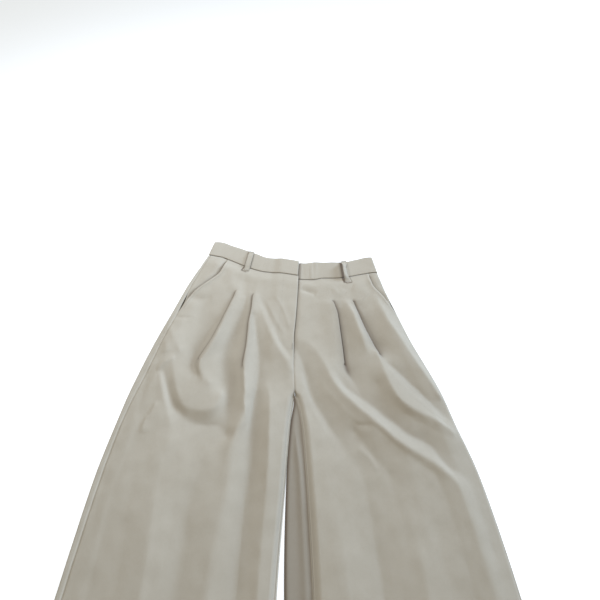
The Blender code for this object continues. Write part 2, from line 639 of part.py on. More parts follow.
def back_loop_grid(leg, share):
    """Points of a back belt loop, which lies flat between the band and the floor."""
    low = np.array(band_point(leg, share, 0.0, True))
    high = np.array(band_point(leg, share, 1.0, True))
    along = (high - low) / np.linalg.norm(high - low)
    across = np.array((along[1], -along[0]))
    start = low - LOOP_BELOW_SEAM * along
    grid = []
    for t in BACK_LOOP_SHARES:
        centre = start + t * (high - start)
        line = []
        for offset in BACK_LOOP_OFFSETS:
            x, y = centre + offset * LOOP_WIDTH * across
            line.append((x, y, STRAP_CLOTH / 2))
        grid.append(line)
    return grid


def zip_columns(leg, row):
    """The zip's cross-section, on the left front's underlap."""
    width = float(leg.width(row))
    reaches = [width + ZIP_INSET, width + ZIP_INSET + ZIP_WIDTH / 2, width + ZIP_INSET + ZIP_WIDTH]
    heights = [float(leg.front_z(row, reach)) + (CLOTH + TAPE) / 2 + GAP for reach in reaches]
    return reaches, heights


def hook_grid(leg):
    """Points of the flat hook and bar between the two ends of the waistband."""
    grid = []
    for up in HOOK_UPS:
        line = []
        for reach in HOOK_REACHES:
            share = 1 + reach / float(leg.width(0.0))
            x, y = band_point(leg, share, up, False)
            line.append((x, y, BAND_FRONT_Z + (BAND_CLOTH + TAPE) / 2 + GAP))
        grid.append(line)
    return grid


def make_material(name, colour, roughness, metallic):
    """A plain Principled finish."""
    material = bpy.data.materials.new(name)
    material.use_nodes = True
    shader = material.node_tree.nodes["Principled BSDF"]
    shader.inputs["Base Color"].default_value = colour
    shader.inputs["Roughness"].default_value = roughness
    shader.inputs["Metallic"].default_value = metallic
    return material


def make_cloth(name, grid, wall, colour, roughness, metallic, collection):
    """An open surface through a grid of points, given its wall by Solidify."""
    shape = bmesh.new()
    rows = [[shape.verts.new(point) for point in line] for line in grid]
    for above, below in zip(rows, rows[1:]):
        for i in range(len(above) - 1):
            shape.faces.new((above[i], above[i + 1], below[i + 1], below[i]))
    bmesh.ops.recalc_face_normals(shape, faces=shape.faces)
    mesh = bpy.data.meshes.new(name)
    shape.to_mesh(mesh)
    shape.free()
    mesh.shade_smooth()
    mesh.materials.append(make_material(name, colour, roughness, metallic))
    body = bpy.data.objects.new(name, mesh)
    collection.objects.link(body)
    solidify = body.modifiers.new("Wall", "SOLIDIFY")
    solidify.thickness = wall
    solidify.offset = 0.0
    return body


def clear_scene():
    """Takes every object out of the scene."""
    for body in list(bpy.data.objects):
        bpy.data.objects.remove(body, do_unlink=True)


def main():
    """Builds every piece of the trousers."""
    clear_scene()
    trousers = bpy.data.collections.new("wide_leg_trousers")
    bpy.context.scene.collection.children.link(trousers)
    right = Leg("right", -1, RIGHT_SECTIONS, RIGHT_PLEATS, RIGHT_MOUTH, RIGHT_BAND)
    left = Leg("left", 1, LEFT_SECTIONS, LEFT_PLEATS, LEFT_MOUTH, LEFT_BAND)
    cloth = (CLOTH_COLOUR, 0.85, 0.0, trousers)
    for leg in (right, left):
        rows = mesh_rows(leg, len(leg.sections) - 1)
        make_cloth("front_" + leg.name, strip(leg, rows, front_columns), CLOTH, *cloth)
        make_cloth("back_" + leg.name, strip(leg, rows, back_columns, True), CLOTH, *cloth)
        pocket_rows = [row for row in rows if float(leg.mouth_reach(row)) > 0.0]
        make_cloth("pocket_facing_" + leg.name, strip(leg, pocket_rows, facing_columns), CLOTH, *cloth)
        make_cloth("waistband_front_" + leg.name, front_band_grid(leg), BAND_CLOTH, *cloth)
        loop = belt_loop_grid(leg, FRONT_LOOP_AT[leg.name])
        make_cloth("belt_loop_front_" + leg.name, loop, STRAP_CLOTH, *cloth)
    make_cloth("waistband_back", back_band_grid(right, left), BAND_CLOTH, *cloth)
    legs = {"right": right, "left": left}
    for name, (side, share) in BACK_LOOPS_AT.items():
        make_cloth("belt_loop_" + name, back_loop_grid(legs[side], share), STRAP_CLOTH, *cloth)
    zip_rows = np.linspace(*ZIP_ROWS, ZIP_COUNT)
    make_cloth("fly_zip", strip(left, zip_rows, zip_columns), TAPE, ZIP_COLOUR, 0.7, 0.0, trousers)
    make_cloth("waist_hook", hook_grid(left), TAPE, HOOK_COLOUR, 0.4, 1.0, trousers)


main()
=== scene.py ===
"""Wide-leg trousers with two pleats a side, laid flat with the front up.

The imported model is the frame, and this script dresses it: every panel is a thin sheet of
cloth that follows its solid, with the folds, seams, stitches and finishes of the real
garment. Metres, +Z up, +Y towards the waist. Right and left are the wearer's, so the
right leg lies at -X.
"""

import logging
import math
from collections.abc import Sequence
from dataclasses import dataclass
from enum import Enum
from functools import cached_property

import bmesh
import bpy
import numpy as np
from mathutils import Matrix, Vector


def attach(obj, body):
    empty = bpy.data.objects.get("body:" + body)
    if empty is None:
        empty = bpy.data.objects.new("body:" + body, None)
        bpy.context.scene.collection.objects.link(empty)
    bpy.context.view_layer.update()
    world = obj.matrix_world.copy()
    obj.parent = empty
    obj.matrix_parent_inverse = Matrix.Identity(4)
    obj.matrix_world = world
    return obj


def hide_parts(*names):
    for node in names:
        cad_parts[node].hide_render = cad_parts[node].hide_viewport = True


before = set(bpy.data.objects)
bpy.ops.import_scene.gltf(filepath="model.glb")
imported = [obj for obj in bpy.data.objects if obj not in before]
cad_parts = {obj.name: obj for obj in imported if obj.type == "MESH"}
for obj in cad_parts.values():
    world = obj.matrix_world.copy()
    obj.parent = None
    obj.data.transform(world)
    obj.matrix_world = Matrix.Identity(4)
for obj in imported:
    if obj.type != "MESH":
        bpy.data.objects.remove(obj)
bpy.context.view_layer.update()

LOG = logging.getLogger("trousers")
Array = np.ndarray
Piece = bpy.types.Object
Socket = bpy.types.NodeSocket
Tree = bpy.types.NodeTree
Material = bpy.types.Material
Point = tuple[float, float, float]
Table = tuple[tuple[float, ...], ...]
Path = tuple[Array, Array]  # points along a line, and the way out of the cloth at each

MM = 0.001

# Heights of the solid model, which the cloth keeps to.
CLOTH = 0.0014
BAND_CLOTH = 0.0022
STRAP_CLOTH = 0.0012
TAPE = 0.0010
GAP = 0.0003
LAYER = CLOTH + GAP
BACK_Z = CLOTH / 2
STRAP_LIFT = STRAP_CLOTH + GAP
REST_Z = BACK_Z + LAYER + 3 * GAP
BAND_BACK_Z = STRAP_LIFT + BAND_CLOTH / 2
BAND_FRONT_Z = BAND_BACK_Z + BAND_CLOTH + 2 * GAP
BAND_LAP_Z = BAND_FRONT_Z + BAND_CLOTH + TAPE + 3 * GAP
LOOP_WIDTH = 0.0120
LOOP_BELOW_SEAM = 0.0120
BAND_UNDERLAP = 0.036
BAND_ROLL = 0.0024
BACK_BAND_LOW = 0.0015
BACK_LEVEL = 0.0045
INNER_ROLL = 0.0015

# How the cloth lies, beyond what the solids say.
WEAVE_WALL = 0.0010  # wall of one layer as it is seen
CREST_FALL = 1.9  # how steeply a pinched fold comes down from its crest
CREST_TOP = 0.1  # how round its crest is
PLATEAU = 0.0055  # how far the cloth stands up off the back between its seams
PLATEAU_RISE = (0.002, 0.036)  # from the outer edge, where it begins and where it is whole
TUBE_EDGE = (-0.001, 0.008)  # the same from the inner edge, below the crotch
EDGE_FADE = 0.018  # how far in from a rolled edge the cloth comes down
FOLDS_FADE = (0.0, 0.020)  # below the waist seam, where the folds begin and where they are whole
SHARED_Y = (0.192, 0.235)  # each side's creases run on over the fly above these heights
STRAP_FADE = (0.016, 0.036)  # below the waist seam, where the back comes down past its loops
BAND_BLEND = 0.014  # how far below the waist seam the cloth still follows the waistband
BAND_END_FADE = 0.020  # how far in from its rolled end the waistband comes down
LAP_RISE = 0.0021  # how far the right front stands over the left at the fly
LAP_RISE_AT = (0.040, 0.062)  # from the fly edge, where that rise is whole and where it begins
FLY_DIP = 0.0024  # how deep the groove beside the fly's edge is
FLY_DIP_WIDTH = 0.0050
FLY_DIP_START = (0.004, 0.014)  # below the waist seam, where it begins and where it is whole
FLY_CLOSED_Y = (0.222, 0.268)  # the two fronts come level between these
POCKET_GAPE = 0.0028  # how far a pocket mouth stands open
FACING_UNDER = 0.018  # how far a pocket facing runs on under the front
HEM_TURN = 0.032  # depth of the hem turned up inside
HEM_GAP = 1.25  # from the middle of a panel to the middle of its turned-up hem, in walls
THREAD_LIFT = 0.0001  # how far a stitch's middle stands off the cloth
THREAD_SINK = 0.0005  # how much further in it lies underneath, against the floor
PLEAT_MARGIN = 0.0075  # cloth on each side of a pleat's edge that follows the fold
FOLDED_OVERLAP = 0.0025  # a pleat that runs in this far is wholly folded
CROSSING_PASSES = 9  # how often the place where a row crosses a line is worked out again
# Painted shade under a pleat's edge grows with the pleat's height:
SHUT_STEP = (0.0008, 0.0024)  # a pleat's shade begins at the first height and is whole at the next
CROTCH = 5  # the section where the legs part
# The cloth at the crotch is darkened with painted shade:
CROTCH_Y = 0.181  # and where the cloth there is darkest
SEAM_GAP = 0.00012  # from a seam to the edge of the piece beside it
SEAM_STEPS = np.array((0.0, 0.0005, 0.0011, 0.0019, 0.0031, 0.0048))
SEAM_MARGIN = 0.0070  # from a front's edge to its first even column
SEAM_DEPTH = 0.0011  # how far a panel turns down into a seam
SEAM_WIDTH = 0.0014
WEAR_WIDTH = 0.002  # how wide the rubbed strip along a seam is
FACING_BULGE = 0.0008  # how far the front stands off a pocket facing
FACING_EDGE = (0.004, 0.026)  # past the facing's edge, where it begins to come down and is down
FACING_FADE = 0.03  # how far below the pocket's mouth that is over
SETTLE = 0.0007  # how softly the front comes to rest on the back
# Shadow painted into the cloth's colour beside and under the front belt loops:
LOOP_SHADE = 0.9  # how dark the cloth is beside a belt loop
LOOP_FOOT_ROW = 0.10  # the row of the fronts at which a belt loop's foot lies on them
BAND_SWELL = 1.2  # how much thicker the waistband is under a belt loop
# Painted shade under a pleat's edge:
PAINTED_SHADE_CORE = 0.85  # the narrow dark line's share of the shade under a pleat's edge
# Shade is painted into the cloth's colour in the folds' hollows:
HOLLOW_CELLS = 11  # how far around it a hollow is measured, in cells of the folds' grid
HOLLOW_SHADE = 24.0  # how much the cloth darkens for each metre of a hollow's depth
POCKET_STITCH_INSET = 0.006
HEM_STITCH_INSET = 0.028
FLY_STITCH_INSET = 0.032
FLY_STITCH_EDGE = 0.0004  # how near to the edge they end
FLY_STITCH_TURN = 0.302  # where the fly's stitches begin to curve in to its edge
FLY_STITCH_FOOT = 0.262
FLY_TACK_INSET = 0.003
FLY_TACK_ROWS = 6  # how many of the panel's rows the bar tack spans


@dataclass(frozen=True)
class Section:
    """A cross-section of one leg, from its outer edge to the inner edge of its front.

    inset is how far the side seam lies in from the outer edge, spread how far the back
    shows past the inner edge, roll the radius of the outer edge, dip how far the middle
    of the row hangs, underlap how far the panel runs on under the fly, and rows the
    number of mesh rows to the next section.
    """

    outer_x: float
    outer_y: float
    inner_x: float
    inner_y: float
    inset: float
    spread: float
    roll: float
    dip: float
    underlap: float
    rows: int


@dataclass(frozen=True)
class BandEdge:
    """The two ends of one side's waistband along its top, and how far the middle hangs."""

    outer_x: float
    outer_y: float
    inner_x: float
    inner_y: float
    dip: float


def smooth(keys: Sequence[float] | Array, values: Sequence[float] | Array, at: Array) -> Array:
    """A curve through values at rising keys that never overshoots them.

    Args:
        keys: places of the values, rising.
        values: what the curve passes through.
        at: where the curve is wanted.

    Returns:
        The curve's value at each place, held constant past both ends.
    """
    keys = np.asarray(keys, float)
    values = np.asarray(values, float)
    rises = np.diff(values) / np.diff(keys)
    product = rises[:-1] * rises[1:]
    total = np.where(product > 0, rises[:-1] + rises[1:], 1.0)
    inner = np.where(product > 0, 2 * product / total, 0.0)
    slopes = np.concatenate([rises[:1], inner, rises[-1:]])
    at = np.clip(at, keys[0], keys[-1])
    i = np.clip(np.searchsorted(keys, at, side="right") - 1, 0, len(keys) - 2)
    width = keys[i + 1] - keys[i]
    t = (at - keys[i]) / width
    start = (1 + 2 * t) * (1 - t) ** 2 * values[i] + t * (1 - t) ** 2 * width * slopes[i]
    end = t * t * (3 - 2 * t) * values[i + 1] - t * t * (1 - t) * width * slopes[i + 1]
    return start + end


def ease(value: Array | float, low: Array | float, high: Array | float) -> Array:
    """0 at low, 1 at high and a soft S between them."""
    t = np.clip((value - low) / (high - low), 0.0, 1.0)
    return t * t * (3 - 2 * t)


def bell(value: Array | float, width: Array | float) -> Array:
    """1 at zero, fading to nothing at about twice the width."""
    return np.exp(-((value / width) ** 2))


def rolling(arc: Array, roll: Array | float) -> tuple[Array, Array]:
    """How far an arc has turned over a rolled edge, and how far past the roll it has run."""
    turn = np.clip(arc / roll, -np.pi / 2, np.pi / 2)
    return turn, np.maximum(np.abs(arc) - roll * np.pi / 2, 0.0)


def hang(dip: Array | float, share: Array | float) -> Array:
    """How far a row that hangs this much in the middle hangs at a share of the way along."""
    return dip * np.sin(np.pi * np.clip(share, 0.0, 1.0))


def running(steps: Array) -> Array:
    """The running total of steps along their last axis, from zero."""
    zero = np.zeros((*steps.shape[:-1], 1))
    return np.concatenate([zero, np.cumsum(steps, axis=-1)], axis=-1)


def steps_along(points: Array, axis: int) -> Array:
    """The length of each step along one axis of a grid of points."""
    return np.linalg.norm(np.diff(points, axis=axis), axis=2)


def resampled(knots: Array, at: Array, along: Array) -> Array:
    """A line's sizes at places along it, one row each."""
    return np.stack([smooth(along, column, at) for column in knots.T], axis=1)


def blurred(grid: Array, weights: Array, axes: Sequence[int]) -> Array:
    """A grid blurred along each of the axes in turn, as if its edges ran on level."""
    reach = len(weights) // 2

    def blur(line: Array) -> Array:
        """One line of the grid, blurred."""
        return np.convolve(np.pad(line, reach, mode="edge"), weights, "valid")

    for axis in axes:
        grid = np.apply_along_axis(blur, axis, grid)
    return grid


@dataclass(frozen=True)
class Crease:
    """A ridge along a curved line, or a trough where its heights are below zero.

    Each point is x, y, height, and how wide the crease is on the left hand and on the
    right hand of someone who walks along it. crest is 0 for a round top and 1 for a
    pinched one. fade is the share of its length over which each end dies out.
    """

    points: Table
    crest: float = 0.0
    fade: float = 0.16
    samples: int = 34
    reach: float = 3.0

    def line(self) -> Array:
        """The crease's points, made even and smooth along its length."""
        knots = np.array(self.points)
        along = running(np.hypot(*np.diff(knots[:, :2], axis=0).T))
        at = np.linspace(0.0, along[-1], self.samples)
        line = resampled(knots, at, along)
        share = at / along[-1]
        line[:, 2] *= ease(share, 0.0, self.fade) * ease(1 - share, 0.0, self.fade)
        return line

    def height(self, x: Array, y: Array) -> Array:
        """How far the crease lifts the cloth at each place."""
        line = self.line()
        margin = self.reach * line[:, 3:].max()
        low, high = line[:, :2].min(axis=0) - margin, line[:, :2].max(axis=0) + margin
        near = (x > low[0]) & (x < high[0]) & (y > low[1]) & (y < high[1])
        total = np.zeros(np.shape(x))
        if not near.any():
            return total
        px, py = x[near], y[near]
        best = np.full(px.shape, np.inf)
        height = np.zeros(px.shape)
        width = np.ones(px.shape)
        for a, b in zip(line, line[1:]):
            dx, dy = b[0] - a[0], b[1] - a[1]
            t = np.clip(((px - a[0]) * dx + (py - a[1]) * dy) / (dx * dx + dy * dy), 0.0, 1.0)
            off_x, off_y = px - a[0] - t * dx, py - a[1] - t * dy
            distance = off_x**2 + off_y**2
            closer = distance < best
            best = np.where(closer, distance, best)
            _, _, level, left, right = (start + t * (end - start) for start, end in zip(a, b))
            height = np.where(closer, level, height)
            beside = np.where(dx * off_y - dy * off_x > 0, left, right)
            width = np.where(closer, beside, width)
        u = np.sqrt(best) / width
        pinched = np.exp(-CREST_FALL * (np.sqrt(u * u + CREST_TOP**2) - CREST_TOP))
        total[near] = height * ((1 - self.crest) * np.exp(-u * u) + self.crest * pinched)
        return total


def metres(*rows: Sequence[float]) -> Table:
    """Rows of sizes given in millimetres, in metres."""
    return tuple(tuple(size * MM for size in row) for row in rows)


def sections(*rows: Sequence[float]) -> tuple[Section, ...]:
    """Cross-sections, each given in millimetres with its number of mesh rows at the end."""
    return tuple(Section(*metres(row[:-1])[0], row[-1]) for row in rows)


def crease(*rows: Sequence[float], crest: float = 0.0, fade: float = 0.16) -> Crease:
    """A crease whose points are given in millimetres."""
    return Crease(metres(*rows), crest, fade)


RIGHT_SECTIONS = sections(
    (-172, 488, 33, 430, 4, 1, 2.6, 9, 0, 30),
    (-208, 405, 29.5, 380, 8, 1, 2.7, 5, 0, 22),
    (-228, 345, 25, 330, 11, 1, 2.6, 0, 0, 20),
    (-247, 290, 20, 280, 13, 1, 2.6, 0, 0, 20),
    (-263, 235, 19, 230, 14, 1, 2.6, 0, 0, 16),
    (-275, 188, 20, 188, 12, 1, 2.6, 0, 0, 5),
    (-278, 174, 17, 174, 11, 1, 2.6, 0, 0, 14),
    (-285, 135, 10.5, 135, 9, 1, 2.6, 0, 0, 27),
    (-297, 55, 2, 55, 10, 1, 2.6, 0, 0, 36),
    (-306, -80, -12, -80, 9, 2, 2.5, 0, 0, 34),
    (-316, -280, -24, -280, 8, 4, 2.5, 0, 0, 38),
    (-325, -525, -35, -525, 8, 6, 2.4, 0, 0, 0),
)
LEFT_SECTIONS = sections(
    (208, 439, 34, 421, 1, 1, 2.6, 4, 35, 22),
    (220, 385, 29.5, 380, 1, 1, 2.7, 2, 35, 20),
    (235, 330, 25, 330, 1, 1, 2.6, 0, 33, 19),
    (249, 280, 20, 280, 1, 1, 2.6, 0, 18, 19),
    (267, 230, 19, 230, 1, 1, 2.6, 0, 0, 16),
    (281, 188, 20, 188, 1, 6, 2.6, 0, 0, 5),
    (284.5, 174, 24.5, 174, 1, 6, 2.6, 0, 0, 15),
    (292, 135, 32.5, 135, 1, 20.1, 2.6, 0, 0, 28),
    (309, 55, 37.5, 55, 1, 32.8, 2.6, 0, 0, 36),
    (318, -80, 41, -80, 2, 40, 2.5, 0, 0, 34),
    (322, -280, 42, -280, 4, 22, 2.5, 0, 0, 38),
    (328, -525, 38, -525, 6, 12, 2.4, 0, 0, 0),
)
# The free edge of each pleat from the waist down: x, y, how far the fold runs in underneath,
# how high the upper layer stands, and how far the lower one goes down towards the edge.
RIGHT_PLEATS = tuple(metres(*pleat) for pleat in (
    (
        (-98, 462, 0, 0, 0), (-101, 394, 0, 0.8, 0.2), (-102, 386, 3, 2, 0.8),
        (-110, 359, 5, 2.8, 1.2), (-123.5, 321, 7, 3.2, 1.6), (-138, 283, 8, 3.4, 1.8),
        (-151, 259, 6, 2.8, 1.6), (-162, 236, 0, 1.2, 1), (-166, 205, 0, 0.4, 0.2),
        (-168, 150, 0, 0, 0), (-180, -525, 0, 0, 0),
    ),
    (
        (-58, 447, 0, 0, 0), (-63, 388, 0, 0.8, 0.2), (-64, 378, 3, 2.2, 1),
        (-65, 350, 5, 2.6, 1.2), (-69, 314, 7, 2.8, 1.4), (-70, 273, 8, 3, 1.6),
        (-74, 238, 3, 2.2, 1.4), (-76, 216, 0, 1, 0.8), (-62, 165, 0, 0.8, 0.6),
        (-52, 100, 0, 0, 0), (-80, -525, 0, 0, 0),
    ),
))
LEFT_PLEATS = tuple(metres(*pleat) for pleat in (
    (
        (139, 426, 0, 0, 0), (144, 372, 0, 0.8, 0.2), (145.5, 362, 3, 3.4, 0.8),
        (153.5, 329, 5, 7, 1.2), (164.5, 293, 8, 7.8, 1.4), (178, 260, 3, 3, 0.8),
        (186, 240, 0, 1, 0.3), (197, 210, 0, 0.2, 0), (208, 150, 0, 0, 0), (220, -525, 0, 0, 0),
    ),
    (
        (98, 422, 0, 0, 0), (101, 372, 0, 0.8, 0.2), (103.5, 362, 3, 3.4, 0.8),
        (109, 333, 5, 6.6, 1.2), (110, 303, 7, 8.2, 1.4), (112, 263, 6, 6.6, 1.2),
        (113, 243, 3, 4.2, 1), (116, 226, 0, 2.4, 0.6), (130, 190, 0, 0.4, 0.2),
        (146, 110, 0, 0, 0), (130, -525, 0, 0, 0),
    ),
))
RIGHT_MOUTH = metres(
    (-127, 476), (-141, 437), (-164, 415), (-189, 392), (-203, 371), (-221, 335),
)
LEFT_MOUTH = metres(
    (188, 440), (189, 420), (193, 402), (211, 375), (233, 334),
)
RIGHT_BAND, LEFT_BAND = (
    BandEdge(*sizes) for sizes in metres((-162.5, 525, 37, 465.5, 10), (202, 478, 37, 460, 4))
)

# How far the waist seam and the band's top stand above their even lines, by the share of
# the way in from the outer edge.
RIGHT_WAIST = (
    (0, 0, 0), (0.08, 3.5, 6), (0.16, 7, 9.5), (0.28, 5.5, 10), (0.4, 2.5, 8.8), (0.5, 0, 6),
    (0.6, -1.2, 3.5), (0.72, 0.4, 4.5), (0.86, 0.8, 4.5), (1, 0, 2.5),
)
LEFT_WAIST = (
    (0, 0, 3), (0.1, 2.4, 5.5), (0.22, 2.2, 3), (0.34, 0.6, 2.2), (0.46, 0, 2.6), (0.58, 1, 4),
    (0.7, 2.2, 5.2), (0.82, -0.6, 7), (0.92, 0.4, 5.5), (1, 1.6, 6),
)

# A pleat seen end on, from the lower layer in to the fold and back over the top: how much
# of the margin, of the overlap and of the height each point takes, and its lift.
PLEAT_PROFILE = (
    (-1.0, 0.0, 0.0, 0.0),
    (-0.45, 0.15, 0.0, 0.0),
    (0.0, 0.75, 0.0, 0.02),
    (0.0, 1.0, 0.18, 0.25),
    (0.0, 0.75, 0.0, 0.48),
    (0.0, 0.25, 0.0, 0.52),
    (0.0, 0.0, -0.20, 0.76),
    (0.16, 0.12, 0.0, 0.90),
    (1.0, 0.5, 0.0, 1.0),
)
PLEAT_COLUMNS = 27

RIGHT_CREASES = (
    # Small pulls beside the fly.
    crease((-38, 372, 0.9, 6, 5), (-15, 322, 1.1, 6, 5), (4, 290, 0.8, 5, 5), crest=0.3),
    crease((-20, 384, 0.7, 5, 4), (0, 345, 0.9, 5, 4), (14, 300, 0.7, 4, 4), crest=0.3),
    # The small ridges on the flank.
    crease((-234, 223, 1.6, 7, 7), (-221, 239, 2.4, 7, 7), (-202, 248, 1.4, 7, 7), crest=0.4),
    crease(
        (-222, 172, 1, 12, 4), (-228, 150, 1.6, 14, 4), (-236, 138, 1.6, 14, 4),
        (-238, 118, 1, 14, 5),
        crest=0.5,
    ),
    crease(
        (-204, 377, -1.2, 8, 10), (-176, 374, -2, 9, 12), (-148, 380, -1.2, 10, 10),
        crest=0.2, fade=0.25,
    ),
    crease((-222, 336, -1.2, 4, 5), (-209, 331, -1.4, 4, 5), (-192, 332, -0.7, 4, 5), crest=0.3),
    crease((-236, 290, 1, 10, 8), (-226, 270, 1.4, 10, 8), (-224, 255, 1, 10, 8), crest=0.2),
    # The cloth between the waist seam and the pleats.
    crease((-120, 462, 0.8, 10, 10), (-112, 420, 1.6, 12, 12), (-105, 388, 0.8, 8, 10), crest=0.1),
    crease((-85, 440, -0.8, 10, 10), (-83, 405, -1.6, 12, 12), (-83, 372, -1.2, 10, 10)),
)
LEFT_CREASES = (
    crease(
        (112, 137, -0.6, 4, 5), (132, 131, -1.2, 4, 6), (156, 130, -0.6, 4, 5),
        crest=0.3, fade=0.3,
    ),
    crease((118, 100, 0.8, 5, 8), (136, 86, 1.2, 5, 9), (150, 66, 1, 6, 10), crest=0.4),
    crease((236, 300, -1, 4, 4), (242, 286, -1.6, 4, 4), (246, 270, -0.8, 4, 4), crest=0.2),
    # The cloth between the waist seam and the pleats.
    crease(
        (35, 396, -2.6, 13, 5), (50, 391, -3.2, 13, 5), (70, 383, -1.2, 10, 5),
        crest=0.3, fade=0.1,
    ),
    crease((104, 402, 0.6, 6, 6), (118, 386, 1.4, 8, 8), (130, 398, 0.8, 8, 8), crest=0.1),
    crease((146, 400, 1, 14, 12), (162, 392, 1.8, 18, 14), (180, 376, 1, 14, 14)),
)
GAP_CREASES = (
    # The ridge of the strip of back that shows inside the left leg.
    crease(
        (17, 150, 1, 4, 4), (21, 110, 2.4, 5, 4), (26, 60, 2.8, 6, 5), (30, -60, 2.2, 7, 6),
        (32, -220, 1, 8, 7),
        crest=0.3,
    ),
)

